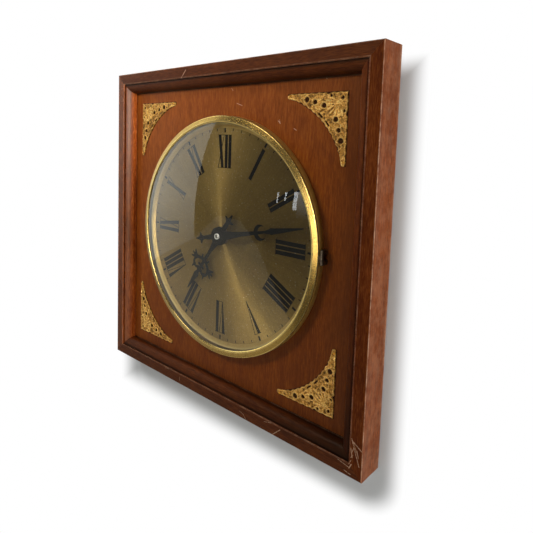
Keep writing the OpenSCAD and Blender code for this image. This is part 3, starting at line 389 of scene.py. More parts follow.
def moulded_finish(name, base, rough=0.45, scale=1.6, tooth=0.15):
    """Moulded plastic with a fine grain and faint handling marks."""
    bench = Finish(name)
    place = bench.where()
    pebble = place.noise(scale, 3, 0.6)
    smear = place.noise(0.05, 4)
    tone = bench.stains_and_shades(base, (paler(base, 1.5, 0.01), smear, 0.35, 0.7, 0.35))
    return bench.surface(Base_Color=tone, Roughness=smear.swing(rough - 0.08, rough + 0.1),
                         Normal=bench.bump(pebble, tooth, 0.00008))


def gilt_finish(name, base, recess):
    """Cast gilt metal with dark patina in its deepest recesses, its lower relief darker as painted shade and its
    raised work paler as a painted highlight.
    """
    bench = Finish(name)
    place = bench.where()
    grit = place.noise(1.3, 4, 0.7)
    grain = place.noise(0.55, 3, 0.6)
    patch = place.noise(0.09, 3)
    lift = bench.attribute("relief") + grit.swing(-0.36, 0.36)
    lift = lift + grain.swing(-0.34, 0.34) - patch.fit(0.45, 0.75, 0.0, 0.2)
    # Patina in the deepest recesses, painted shade on the lower relief, and a painted highlight on the raised work.
    tone = bench.stains_and_shades(recess, (darker(base, 0.26), lift, -0.1, 0.26, 1), (darker(base, 0.74), lift, 0.26, 0.62, 1),
                        (paler(base, 1.4, 0.12), lift, 0.62, 0.86, 1))
    return bench.surface(Base_Color=tone, Metallic=0.58, Roughness=lift.fit(0.1, 0.9, 0.55, 0.24),
                         Normal=bench.bump(grit + grain * 1.6, 0.8, 0.0008))


def dial_finish(name, base):
    """Metal brushed in rays from the dial's middle."""
    bench = Finish(name)
    place = bench.about_axis()
    side, _, up = place.parts()
    reach = (side * side + up * up).root()
    ray = bench.vector("NORMALIZE", place * (1, 0, 1))
    fine = ray.noise(55, 3, 0.8)
    broad = ray.noise(7, 2, 0.6)
    age = place.noise(0.05, 4)
    specks = place.noise(0.75, 2, 0.5)
    tone = bench.stains_and_shades(base, (darker(base, 0.55), fine, 0.3, 0.7, 0.5), (darker(base, 0.7), broad, 0.35, 0.65, 0.35),
                        (darker(base, 0.5), age, 0.45, 0.75, 0.3), (darker(base, 0.4), reach, 95, 100, 0.35),
                        (tint("#cfc6ae"), specks, 0.67, 0.71, 0.6))
    # Painted light and shade: the dial lighter to the left and towards the bottom, darker to the right.
    painted_light_gradient = side.fit(-90, 0, -0.75, 0) + side.fit(0, 90, 0, 0.4) + up.fit(-90, 10, -0.7, 0)
    grit = place.noise(0.7, 4, 0.75).swing(0.82, 1.18)
    return bench.surface(Base_Color=bench.scaled(tone, (1.0 - painted_light_gradient) * grit), Metallic=0.74,
                         Roughness=fine.swing(0.3, 0.4), Anisotropic=1.0, Anisotropic_Rotation=0.0,
                         Tangent=bench.add("Tangent", {"direction_type": "RADIAL", "axis": "Y"}),
                         Normal=bench.bump(fine, 0.12, 0.00005))


def ink_finish(name, base):
    """Printed ink, a little thin in places."""
    bench = Finish(name)
    thin = bench.where().noise(0.9, 4, 0.7)
    tone = bench.stains_and_shades(base, (tint("#1a160f"), thin, 0.55, 0.75, 0.3))
    return bench.surface(Base_Color=tone, Roughness=thin.swing(0.5, 0.65), Specular_IOR_Level=0.12,
                         Normal=bench.bump(thin, 0.08, 0.00005))


def lacquered_hand_finish(name, base):
    """Black lacquer with brass showing faintly along the edges."""
    bench = Finish(name)
    rubbed = bench.where().noise(0.6, 4, 0.7)
    edge = bench.attribute("relief").fit(0.9, 0.3) * rubbed.fit(0.5, 0.7)
    tone = bench.blend(edge * 0.2, base, tint("#4c4030"))
    return bench.surface(Base_Color=tone, Roughness=rubbed.swing(0.45, 0.6), Specular_IOR_Level=0.15,
                         Normal=bench.bump(rubbed, 0.06, 0.0001))


def glass_finish(name):
    """Clear convex glass with faint dust, which lets lamps through."""
    bench = Finish(name)
    dust = bench.where().noise(0.5, 4, 0.7)
    body = bench.add("BsdfPrincipled", Base_Color=(1, 1, 1), Transmission_Weight=1.0, IOR=1.5,
                     Roughness=dust.fit(0.55, 0.8, 0.0, 0.05))
    clear = bench.add("BsdfTransparent", Color=(0.94, 0.96, 0.95))
    return bench.output(bench.mix(bench.add("LightPath", out="Is Shadow Ray"), body, clear))


def on_wall(points):
    """Face-up millimetres about the dial's axis, carried to the row frame in metres."""
    p = np.asarray(points, float)
    return np.stack([p[:, 0], -p[:, 2], p[:, 1] + AXIS_Z / MM], 1) * MM


def make_piece(name, points, faces, finish, body, slot, nodes, crease=35.0, marks=None):
    """A closed mesh that stands for CAD nodes and moves with a body."""
    mesh = bpy.data.meshes.new(name)
    mesh.from_pydata(on_wall(points).tolist(), [], [list(map(int, f)) for f in faces])
    work = bmesh.new()
    work.from_mesh(mesh)
    bmesh.ops.recalc_face_normals(work, faces=work.faces)
    work.to_mesh(mesh)
    work.free()
    for key, values in (marks or {}).items():
        mesh.attributes.new(key, "FLOAT", "POINT").data.foreach_set("value", np.asarray(values, np.float32))
    mesh.shade_smooth()
    mesh.set_sharp_from_angle(angle=math.radians(crease))
    mesh.materials.append(finish)
    piece = bpy.data.objects.new(name, mesh)
    bpy.context.scene.collection.objects.link(piece)
    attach(piece, body)
    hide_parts(*nodes)
    return piece


def reach_of(node):
    """A node's right edge, back and front, in millimetres about the dial's axis."""
    low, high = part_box(node)
    return high.x / MM, -high.y / MM, -low.y / MM


def dress(finish, *nodes):
    """Gives CAD nodes a finish and leaves their shape."""
    for node in nodes:
        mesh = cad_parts[node].data
        mesh.materials.clear()
        mesh.materials.append(finish)


def arc(centre, radius, start, end, steps):
    """Points along an arc, with angles in degrees."""
    angles = np.radians(np.linspace(start, end, steps + 1))
    return [(centre[0] + radius * math.cos(a), centre[1] + radius * math.sin(a)) for a in angles]


def turned(profile, segments=256):
    """A closed profile of radius and height, turned about the dial's axis."""
    points, rings, faces = [], [], []
    for radius, height in profile:
        if radius < 1e-6:
            rings.append([len(points)])
            points.append((0, 0, height))
            continue
        rings.append(list(range(len(points), len(points) + segments)))
        for k in range(segments):
            a = 2 * math.pi * k / segments
            points.append((radius * math.cos(a), radius * math.sin(a), height))
    for this, after in zip(rings, rings[1:] + rings[:1]):
        if len(this) == 1 and len(after) == 1:
            continue
        for k in range(segments):
            n = (k + 1) % segments
            corners = [this[k % len(this)], after[k % len(after)], after[n % len(after)], this[n % len(this)]]
            faces.append(list(dict.fromkeys(corners)))
    return points, faces


def relief(outline, height, low, high, pitch, floor):
    """A closed plate from a signed outline, with a modelled top. Returns points, faces and lift."""
    xs = np.arange(low[0], high[0] + pitch, pitch)
    ys = np.arange(low[1], high[1] + pitch, pitch)
    x, y = np.meshgrid(xs, ys, indexing="ij")
    depth = outline(x, y)
    slope_x, slope_y = np.gradient(depth, pitch)
    steep = np.maximum(slope_x ** 2 + slope_y ** 2, 0.2)
    near = np.abs(depth) < 0.62 * pitch
    x = np.where(near, x - depth * slope_x / steep, x)
    y = np.where(near, y - depth * slope_y / steep, y)
    kept = (depth < 0) | near
    number = -np.ones(x.shape, int)
    number[kept] = np.arange(kept.sum())
    lift = height(x, y, np.where(near, 0.0, -depth))[kept]
    flat = np.stack([x[kept], y[kept]], 1)
    quads = np.stack([number[:-1, :-1], number[1:, :-1], number[1:, 1:], number[:-1, 1:]], -1).reshape(-1, 4)
    found = (quads >= 0).sum(1)
    top = [q.tolist() for q in quads[found == 4]] + [q[q >= 0].tolist() for q in quads[found == 3]]
    count = len(flat)
    edges = {(a, b) for f in top for a, b in zip(f, f[1:] + f[:1])}
    faces = list(top) + [[count + i for i in reversed(f)] for f in top]
    faces += [[b, a, count + a, count + b] for a, b in edges if (b, a) not in edges]
    points = np.concatenate([np.column_stack([flat, floor + lift]), np.column_stack([flat, 0 * lift + floor])])
    return points, faces, np.concatenate([lift, 0 * lift])


def segment_distance(x, y, start, end):
    """Distance to a straight piece of line, and how far along it the nearest point is."""
    dx, dy = end[0] - start[0], end[1] - start[1]
    along = np.clip(((x - start[0]) * dx + (y - start[1]) * dy) / (dx * dx + dy * dy), 0, 1)
    return np.hypot(x - start[0] - along * dx, y - start[1] - along * dy), along


def path_distance(x, y, path):
    return np.minimum.reduce([segment_distance(x, y, a, b)[0] for a, b in zip(path, path[1:])])


def disc(x, y, centre, radius):
    return np.hypot(x - centre[0], y - centre[1]) - radius


def taper(x, y, start, end, wide, narrow):
    """A bar that narrows from one end to the other."""
    gap, along = segment_distance(x, y, start, end)
    return gap - (wide + (narrow - wide) * along)


def soft_union(shapes, ease):
    """Shapes run together with eased corners."""
    total = shapes[0]
    for shape in shapes[1:]:
        mixed = np.clip(0.5 + 0.5 * (total - shape) / ease, 0, 1)
        total = total + (shape - total) * mixed - ease * mixed * (1 - mixed)
    return total


def turned_about_axis(points, degrees):
    a = math.radians(degrees)
    spun = np.array(points, float)
    spun[:, 0] = math.cos(a) * points[:, 0] - math.sin(a) * points[:, 1]
    spun[:, 1] = math.sin(a) * points[:, 0] + math.cos(a) * points[:, 1]
    return spun


def rail_profile(shapes, face, shaded):
    """The frame's moulding as distance from the axis and height off the wall, with its wear and its dark glaze, which
    is partly painted shade in the step and in the recess by the panel.
    """
    arris = shapes.arris / MM
    outer = FRAME_HALF - 0.03
    band, step, sight = FRAME_HALF - 10.5, FRAME_HALF - 11.3, FRAME_HALF - 20
    drop = FRAME_DEPTH - 1.4
    ledge = PANEL_Z + 1
    marked = [(p, 0.5, 0) for p in arc((outer - 3, 3), 3, -90, 0, 8)]
    # The outer side faces take a little of the bare-wood tone, lighter and greyer: partly wear and partly a painted
    # sheen.
    marked += [((outer, 5.5), 0.16, 0), ((outer, FRAME_DEPTH - 1.6), 0.16, 0)]
    marked += [(p, 1 - abs(k - 3) / 3, 0) for k, p in enumerate(arc((outer - 0.8, FRAME_DEPTH - 0.8), 0.8, 0, 90, 6))]
    marked += [((outer - 1.6, FRAME_DEPTH), 0, face), ((band + 1.3, FRAME_DEPTH), 0, face),
               ((band + 0.8, FRAME_DEPTH), 0.36, 0)]
    inner = arc((band + arris, FRAME_DEPTH - arris), arris, 90, 180, 4)
    marked += [(p, 0.8 - 0.4 * abs(k - 2), 0) for k, p in enumerate(inner)]
    marked += [((band, drop + 0.5), 0, 0.5), ((band - 0.1, drop), 0, 1), ((step + 0.1, drop), 0, 1)]
    # The recess by the panel darkens inwards as painted shade, scaled by shaded.
    marked += [(p, 0, max(0.32, 1 - 0.25 * k, 0.14 * (k - 13) * shaded))
               for k, p in enumerate(arc((step, ledge), drop - ledge, 90, 180, 20))]
    marked += [((sight + 0.3, ledge), 0.1, 0.8 * shaded)]
    marked += [(p, 0.15, 0.6 * shaded) for p in arc((sight + 0.2, ledge - 0.2), 0.2, 90, 180, 3)]
    marked += [((sight, PANEL_Z), 0, 1), ((sight + 7.3, PANEL_Z), 0, 0), ((sight + 7.3, 0), 0, 0)]
    return marked


class CLOCK_OT_frame_rails(bpy.types.Operator):
    """Builds the four mitred rails of the wooden frame"""

    bl_idname = "clock.frame_rails"
    bl_label = "Frame rails"

    def execute(self, context):
        shapes, looks = context.scene.clock_shapes, context.scene.clock_finishes
        tones = [each[:] for each in (looks.frame_dark, looks.frame_mid, looks.frame_light)]
        # Lit and shaded copies of the frame's wood: the left rail painted lighter and the top and bottom rails
        # darker, as the light falls; each rail with its own share of dark glaze and painted shade, and the left rail
        # with a painted sheen.
        woods = {
            board: wood_finish("frame_wood_" + board, grain, *(darker(tone, deep) for tone in tones), 0.4, lacquer,
                               looks.bare_wood[:], looks.wear, looks.scratches, glaze_and_shade_share, clear=clear, gloss=gloss,
                               painted_sheen=painted_sheen)
            for board, grain, deep, glaze_and_shade_share, clear, lacquer, gloss, painted_sheen in (
                ("across", "X", 0.6, 0.9, 0.0, 0.42, 0.12, 0.0), ("left", "Z", 1.7, 0.85, 0.4, 0.22, 0.2, 0.4),
                ("right", "Z", 0.92, 0.95, 0.0, 0.5, 0.06, 0.0))
        }
        gap = shapes.mitre_gap / MM
        steps = 24
        for name, turn, board in (("right_rail", 0, "right"), ("top_rail", 90, "across"), ("left_rail", 180, "left"),
                                  ("bottom_rail", 270, "across")):
            # The left rail's flat band takes more dark glaze, as painted shade, and its recess less.
            profile = rail_profile(shapes, *((0.78, 0.4) if board == "left" else (0.2, 1.0)))
            count = len(profile)
            points = np.array([(u, (u - gap) * (2 * k / steps - 1), z)
                               for k in range(steps + 1) for (u, z), _, _ in profile])
            faces = [[k * count + j, k * count + (j + 1) % count, (k + 1) * count + (j + 1) % count,
                      (k + 1) * count + j] for k in range(steps) for j in range(count)]
            faces += [list(range(count)), list(range(steps * count, (steps + 1) * count))]
            marks = {"edge": [wear_and_sheen for _, wear_and_sheen, _ in profile] * (steps + 1),
                     "glaze_and_shade": [deep for _, _, deep in profile] * (steps + 1)}
            make_piece("frame_" + name, turned_about_axis(points, turn), faces, woods[board], "clock_case",
                       "frame_wood", [name], 28, marks)
        return {"FINISHED"}


class CLOCK_OT_panel_and_hanger(bpy.types.Operator):
    """Finishes the veneered panel, the cleat and the hanging hardware"""

    bl_idname = "clock.panel_and_hanger"
    bl_label = "Panel and hanger"

    def execute(self, context):
        looks = context.scene.clock_finishes
        dress(wood_finish("panel_veneer", "Z", looks.panel_dark[:], looks.panel_mid[:], looks.panel_light[:], 0.22,
                          0.44, looks.bare_wood[:], scratches=looks.scratches, corners=ornament_corner(),
                          scars=PANEL_SCARS), "face_panel")
        dress(wood_finish("cleat_wood", "X", tint("#6b4526"), tint("#8f633c"), tint("#b0804f"), 0.5, 0.6),
              "hanging_cleat")
        dress(metal_finish("hanger_zinc", tint("#b9bcbd"), tint("#6d6a63"), 0.5, 0.32), "hanger_plate")
        dress(metal_finish("screw_steel", tint("#c4c2bc"), tint("#5b4a3a"), 0.6, 0.3), "hanger_screws")
        dress(metal_finish("nail_steel", tint("#4a4540"), tint("#2c1f16"), 0.7, 0.5), "mitre_nails", "panel_brads")
        return {"FINISHED"}


def ornament_corner():
    """An ornament's outer edge, leg, and the middle and radius of its curved edge."""
    low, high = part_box("corner_ornament_upper_right")
    edge, leg = high.x / MM, (high.x - low.x) / MM
    waist, tip = 21, 3
    far = leg - tip / 2
    bend = (far ** 2 + tip ** 2 - 2 * waist ** 2) / (2 * (far + tip - 2 * waist))
    return edge, leg, bend, (bend - waist) * math.sqrt(2)


def ornament_holes():
    """Holes of an ornament as distances from its two outer edges and a radius."""
    leg = [(35, 4.7, 1.9), (27.5, 6.8, 1.5), (19.7, 9.5, 1.7), (14, 2.7, 0.9)]
    return leg + [(b, a, r) for a, b, r in leg] + [(4.4, 4.4, 1.1)]


def ornament_slits():
    one = [(24.1, 15.3), (21.1, 17.9)]
    return [one, [(b, a) for a, b in one]]


def ornament_outline(shapes, leg, bend, sweep):
    """Signed outline of a pierced corner ornament, in distances from its outer edges."""
    scallop = shapes.scallop / MM

    def outline(a, b):
        def wavy(across, along):
            wave = scallop * (0.5 - 0.5 * np.cos(2 * np.pi * along / 6.1))
            return wave + 1.1 * np.exp(-((along - 16.6) / 1.3) ** 2) - across

        reach = np.hypot(bend - a, bend - b)
        lobes = 0.3 * np.cos(2 * np.pi * np.arctan2(bend - a, bend - b) * sweep / 5.2)
        body = np.maximum.reduce([wavy(b, a), wavy(a, b), sweep - reach + lobes, a - leg + 1.5, b - leg + 1.5])
        ways = ((a, b), (b, a))
        for way in ways:
            body = np.maximum(body, -disc(*way, (leg - 12.6, 9.3), 2.6))
        shape = np.minimum.reduce([body, *(taper(*way, (leg - 2.1, 2.2), (leg - 12, 3.3), 1.8, 2.9) for way in ways)])
        for ha, hb, radius in ornament_holes():
            shape = np.maximum(shape, -disc(a, b, (ha, hb), radius))
        for slit in ornament_slits():
            shape = np.maximum(shape, 0.5 - path_distance(a, b, slit))
        return shape

    return outline


def ornament_height(shapes):
    """Modelled top of an ornament: rims, rings, scrolls and a fan at the corner."""
    work = shapes.filigree / MM

    def ridge(distance, width):
        return np.exp(-(distance / width) ** 2)

    def height(a, b, inset):
        beads = 0.72 + 0.28 * np.cos(2 * np.pi * (a - b) / 1.9)
        top = 0.75 * ridge(inset - 0.75, 0.5) * beads
        for ha, hb, radius in ornament_holes():
            top = np.maximum(top, ridge(disc(a, b, (ha, hb), radius + 0.7), 0.45))
        for first, second in ((a, b), (b, a)):
            swing = 5.2 - 0.10 * (first - 44) + 2.3 * np.sin(2 * np.pi * (first - 3.2) / 7.6)
            vine = ridge(second - swing, 0.55) * (first > 15) * (first < 50)
            coil = np.hypot(first - 23.5, second - 8.2)
            turn = np.arctan2(second - 8.2, first - 23.5)
            curl = ridge(np.mod(coil - turn * 0.42, 2.64) - 1.32, 0.42) * (coil < 4.6)
            top = np.maximum.reduce([top, 0.9 * vine, 0.8 * curl])
        spread = np.arctan2(a - 7.5, b - 7.5)
        out = np.hypot(a - 7.5, b - 7.5)
        fan = (0.5 + 0.5 * np.cos(spread * 18)) * (out < 10.5) * (out > 2) * (a + b > 16)
        boss = ridge(out, 2.0)
        stipple = 0.10 * np.sin(3.9 * a + 1.3 * b) * np.sin(3.4 * b - 1.7 * a)
        top = np.maximum.reduce([top, 0.85 * fan, boss]) + stipple
        dome = np.clip(inset / 0.5, 0, 1) ** 0.5
        return 0.25 + dome * (0.3 + work * np.clip(top, 0, 1.05))

    return height


class CLOCK_OT_corner_ornaments(bpy.types.Operator):
    """Builds the four pierced gilt ornaments in the corners of the panel"""

    bl_idname = "clock.corner_ornaments"
    bl_label = "Corner ornaments"

    def execute(self, context):
        shapes, looks = context.scene.clock_shapes, context.scene.clock_finishes
        finish = gilt_finish("ornament_gilt", looks.gilt[:], looks.gilt_recess[:])
        edge, leg, bend, sweep = ornament_corner()
        points, faces, lift = relief(ornament_outline(shapes, leg, bend, sweep), ornament_height(shapes),
                                     (-0.6, -0.6), (leg + 0.6, leg + 0.6), 0.36, PANEL_Z + 0.01)
        for name, across, up in (("upper_right", 1, 1), ("upper_left", -1, 1), ("lower_left", -1, -1),
                                 ("lower_right", 1, -1)):
            placed = np.column_stack([across * (edge - points[:, 0]), up * (edge - points[:, 1]), points[:, 2]])
            make_piece("filigree_" + name, placed, faces, finish, "clock_case", "gilt",
                       ["corner_ornament_" + name], 60, {"relief": lift / lift.max()})
        dress(metal_finish("pin_brass", looks.gilt[:], looks.gilt_recess[:], 0.4, 0.3), "ornament_pins")
        return {"FINISHED"}


def numeral_strokes(word):
    """Strokes of a Roman numeral, in millimetres across it and out from the dial's middle."""
    foot, head, heavy, hair, gap, wide = 59.8, 88.8, 3.35, 0.6, 0.95, 7.2
    strokes, left = [], 0.0

    def stroke(level, *across, low=foot, high=head):
        strokes.append((level, list(zip(across, (low, low, high, high)))))

    for letter in word:
        middle, right = left + wide / 2, left + wide
        if letter == "I":
            right = left + heavy
            stroke(1.0, left, right, right, left)
        elif letter == "V":
            stroke(1.0, middle - 0.2, middle + 0.3, left + 3.5, left)
            stroke(0.95, middle - 0.1, middle + 0.3, right, right - hair)
        else:
            stroke(1.0, right - heavy, right, left + heavy, left)
            stroke(0.95, left, left + hair, right, right - hair)
        left = right + gap
    end = left - gap
    point = wide / 2 if word[0] == "V" else 0.0
    for start, low, high in ((point, foot, foot + 0.4), (0.0, head - 0.4, head)):
        if word != "V" or start == 0.0:
            stroke(0.9, start - 0.6, end + 0.6, end + 0.6, start - 0.6, low=low, high=high)
    return [(level, [(across - end / 2, out) for across, out in corners]) for level, corners in strokes]


def dial_marks():
    """Every printed mark of the dial as its turn, its level and its stroke."""
    for hour, word in enumerate(("XII", "I", "II", "III", "IIII", "V", "VI", "VII", "VIII", "IX", "X", "XI")):
        for level, stroke in numeral_strokes(word):
            yield 30 * hour, level, stroke
    for minute in range(60):
        half, low = (0.85, 90.7) if minute % 5 == 0 else (0.34, 92.2)
        yield 6 * minute, 1.0, [(-half, low), (half, low), (half, 94.5), (-half, 94.5)]


class CLOCK_OT_dial(bpy.types.Operator):
    """Finishes the brushed dial and its printed numerals"""

    bl_idname = "clock.dial"
    bl_label = "Dial"

    def execute(self, context):
        looks = context.scene.clock_finishes
        dress(dial_finish("dial_sunray_brass", looks.dial[:]), "dial_plate")
        _, under, over = reach_of("dial_print")
        points, faces = [], []
        for turn, level, stroke in dial_marks():
            flat = turned_about_axis(np.array([(across, out, 0) for across, out in stroke]), -turn)
            start, count = len(points), len(stroke)
            top = under + level * (over - under)
            points += [(x, y, z) for z in (under, top) for x, y, _ in flat]
            lower = [start + k for k in range(count)]
            upper = [k + count for k in lower]
            faces += [lower, upper, *zip(lower, lower[1:] + lower[:1], upper[1:] + upper[:1], upper)]
        make_piece("dial_numerals", points, faces, ink_finish("dial_ink", looks.ink[:]), "clock_case", "print",
                   ["dial_print"])
        dress(metal_finish("brad_brass", looks.brass[:], looks.tarnish[:], 0.4, 0.3), "dial_brads")
        return {"FINISHED"}


def ring_piece(name, marked, finish, body, node, crease):
    """A turned brass ring from its radii, heights and polish."""
    points, faces = turned([(radius, height) for radius, height, _ in marked])
    make_piece(name, points, faces, finish, body, "bezel_brass", [node], crease,
               {"polish": np.repeat([shine for _, _, shine in marked], len(points) // len(marked))})


class CLOCK_OT_door(bpy.types.Operator):
    """Builds the fixed ring, the hinged brass ring, the glass and the hinge"""

    bl_idname = "clock.door"
    bl_label = "Glass door"

    def execute(self, context):
        shapes, looks = context.scene.clock_shapes, context.scene.clock_finishes
        arris = shapes.brass_arris / MM
        polished = metal_finish("bezel_polished_brass", looks.brass[:], looks.tarnish[:], looks.tarnish_amount,
                                0.3, 0.09, metal=0.92, turned_ring=True, shine=0.1)
        brushed = metal_finish("ring_brushed_brass", darker(looks.brass[:], 0.9), looks.tarnish[:],
                               looks.tarnish_amount, 0.32, 0.1, (0.7, 6.0, 0.7), 0.14, 0.85, True)
        outer, _, crest = reach_of("bezel_ring")
        wall_top = reach_of("base_ring")[2]
        lip, skirt_in, skirt_out, foot = outer - 6, outer - 2.5, outer - 1.7, PANEL_Z + 2
        door = wall_top + 0.3
        marked = [(skirt_in, crest - 1.5, 0), (lip, crest - 0.7, 0)]
        marked += [(*spot, 1) for spot in arc((lip + 1.25, crest - 1.6), 1.6, 141, 80, 9)]
        marked += [(lip + 2.0, crest - 0.16, 0.2), (outer - 0.9, crest - 1.0, 0.05), (outer - 0.6, crest - 1.09, 1),
                   (outer - 0.35, crest - 1.24, 1), (outer - 0.12, crest - 1.45, 0.8), (outer, crest - 1.75, -0.5),
                   (outer, door + 0.15, -1), (outer - 0.15, door, -1), (skirt_out, door, 0), (skirt_out, foot, 0),
                   (skirt_in, foot, 0)]
        ring_piece("door_bezel", marked, polished, "bezel_door", "bezel_ring", 24)
        sight, shelf = outer - 10.2, outer - 6.4
        profile = [(sight, PANEL_Z), (outer, PANEL_Z)]
        profile += arc((outer - arris, wall_top - arris), arris, 0, 90, 4)
        profile += [(outer - 1.2, wall_top), (outer - 1.2, PANEL_Z + 0.8), (outer - 5.6, PANEL_Z + 0.8)]
        profile += [(shelf + 0.2, PANEL_Z + 2.6)] + arc((shelf - 0.1, PANEL_Z + 2.3), 0.3, 80, 140, 4)
        profile += [(shelf - 1.9, PANEL_Z + 1.25), (sight + 0.25, PANEL_Z + 0.35), (sight, PANEL_Z + 0.15)]
        marked = [(r, height, -1 if r > outer - 0.8 else -2 if shelf - 1 < r < shelf else -1.3 if r < shelf else 0)
                  for r, height in profile]
        ring_piece("fixed_ring", marked, brushed, "clock_case", "base_ring", 30)
        ring, under, over = reach_of("lens_retainer")
        profile = [(ring - 2.8, under), (ring, under)] + arc((ring - 0.25, over - 0.25), 0.25, 0, 90, 3)
        profile += arc((ring - 2.55, over - 0.25), 0.25, 90, 180, 3)
        make_piece("glass_keeper", *turned(profile), brushed, "bezel_door", "bezel_brass", ["lens_retainer"], 32)
        hinge = metal_finish("hinge_dark_metal", tint("#5a5044"), tint("#2a2018"), 0.6, 0.42, 0.4)
        dress(hinge, "hinge_leaf_fixed", "hinge_leaf_door", "hinge_pin")
        dress(brushed, "catch_spring", "base_ring_screws")
        self.glass()
        return {"FINISHED"}

    def glass(self):
        """A dome between two spheres about one centre."""
        edge, rim, apex = reach_of("glass_lens")
        thick = 1.8
        sag = apex - thick - rim
        inner = (edge * edge + sag * sag) / (2 * sag)
        outer = inner + thick
        centre = apex - outer

        def cap(radius, spots):
            return [(r, centre + math.sqrt(radius * radius - r * r)) for r in spots]

        spots = np.linspace(0, edge - 0.15, 40).tolist()
        profile = cap(outer, spots) + [(edge, cap(outer, [edge])[0][1] - 0.15)]
        profile += cap(inner, [edge] + spots[::-1])
        make_piece("domed_glass", *turned(profile, 192), glass_finish("door_glass"), "bezel_door", "glass",
                   ["glass_lens"], 40)


def tapers(side, y, *strokes):
    """Tapers from rows of both ends' places and both half widths."""
    return [taper(side, y, row[:2], row[2:4], *row[4:]) for row in strokes]


def minute_outline(x, y):
    """Signed outline of the minute hand, pointing up."""
    side = np.abs(x)
    crescent = np.maximum(disc(x, y, (0, 49.4), 6.6), -disc(x, y, (0, 51.9), 5.0))
    shapes = [disc(x, y, (0, 0), 7.8)]
    shapes += tapers(side, y, (0, 5, 0, 24, 4.3, 2.2), (0, 22, 0, 44, 2.2, 1.5)) + [crescent]
    shapes += tapers(side, y, (0, 43, 0, 57, 1.4, 1.0), (0, 55, 0, 61.5, 1.0, 2.6),
                     (0, 61.5, 0, 92.3, 2.6, 0.5), (0, 0, 0, -19, 3.0, 1.5),
                     (0, -20.8, 4.7, -21.2, 2.4, 0.6), (0, -20, 0, -27.2, 2.6, 0.6))
    return np.maximum(soft_union(shapes, 0.5), -disc(x, y, (0, 0), 2.0))


def hour_outline(x, y):
    """Signed outline of the hour hand, pointing up."""
    side = np.abs(x)
    shapes = [disc(x, y, (0, 0), 8.2)]
    shapes += tapers(side, y, (0, 5, 0, 17, 4.0, 2.0), (0, 15, 0, 48, 1.9, 1.5),
                     (0, 30.6, 6.0, 33.4, 1.7, 1.3), (6.0, 33.4, 10.4, 35.8, 1.3, 1.7),
                     (10.2, 35.6, 14.4, 31.4, 2.0, 0.5), (10.2, 36.0, 14.9, 39.5, 2.0, 0.5),
                     (10.4, 35.8, 15.8, 35.4, 1.7, 0.5))
    shapes += [path_distance(side, y, arc((5.6, 39.4), 4.4, -45, 140, 24)) - 1.2]
    shapes += tapers(side, y, (2.2, 42.2, 0, 45.4, 1.3, 1.5), (7.4, 42.8, 8.6, 47.2, 1.6, 0.5),
                     (3.3, 32.0, 4.8, 28.2, 1.2, 0.5)) + [disc(side, y, (3.2, 38.6), 1.2)]
    shapes += tapers(side, y, (0, 38.4, 3.2, 38.6, 1.1, 0.9), (0, 45, 0, 50, 1.6, 2.9),
                     (0, 50, 0, 68.2, 2.9, 0.5), (0, 0, 0, -17, 3.0, 2.0),
                     (0, -17.4, 4.9, -18.9, 2.4, 0.7), (0, -17, 0, -24.2, 2.7, 0.7))
    return np.maximum(soft_union(shapes, 0.45), -disc(x, y, (0, 0), 2.9))


class CLOCK_OT_hands(bpy.types.Operator):
    """Builds the two pierced black hands and the nut that holds them"""

    bl_idname = "clock.hands"
    bl_label = "Hands"

    def execute(self, context):
        shapes, looks = context.scene.clock_shapes, context.scene.clock_finishes
        finish = lacquered_hand_finish("hand_black_lacquer", looks.hand[:])
        bevel = shapes.hand_bevel / MM
        for name, outline, span, wide, turn, body in (
                ("minute_hand", minute_outline, (-28.5, 93.4), 8.2, -78, "minute_train"),
                ("hour_hand", hour_outline, (-25.8, 69.4), 18.2, -216.5, "hour_train")):
            _, under, over = reach_of(name)
            thick = over - under

            def height(x, y, inset):
                return thick - 0.5 * thick * np.clip(1 - inset / bevel, 0, 1) ** 2

            points, faces, lift = relief(outline, height, (-wide, span[0]), (wide, span[1]), 0.28, under)
            make_piece("pierced_" + name, turned_about_axis(points, turn), faces, finish, body, "hand_black",
                       [name], 60, {"relief": lift / thick})
        ring, under, over = reach_of("hand_nut")
        profile = [(2.08, under), (ring, under), (ring, over - 0.5)]
        profile += arc((ring - 0.5, over - 0.5), 0.5, 0, 90, 5) + arc((1.5, over - 0.14), 0.14, 90, 180, 3)
        profile += [(1.36, over - 0.26), (2.08, over - 0.28)]
        silver = metal_finish("nut_satin_nickel", tint("#f2efe8"), tint("#8a857a"), 0.2, 0.34, 0.6, metal=0.5)
        make_piece("ring_nut", *turned(profile, 64), silver, "minute_train", "nut_silver", ["hand_nut"], 40)
        return {"FINISHED"}


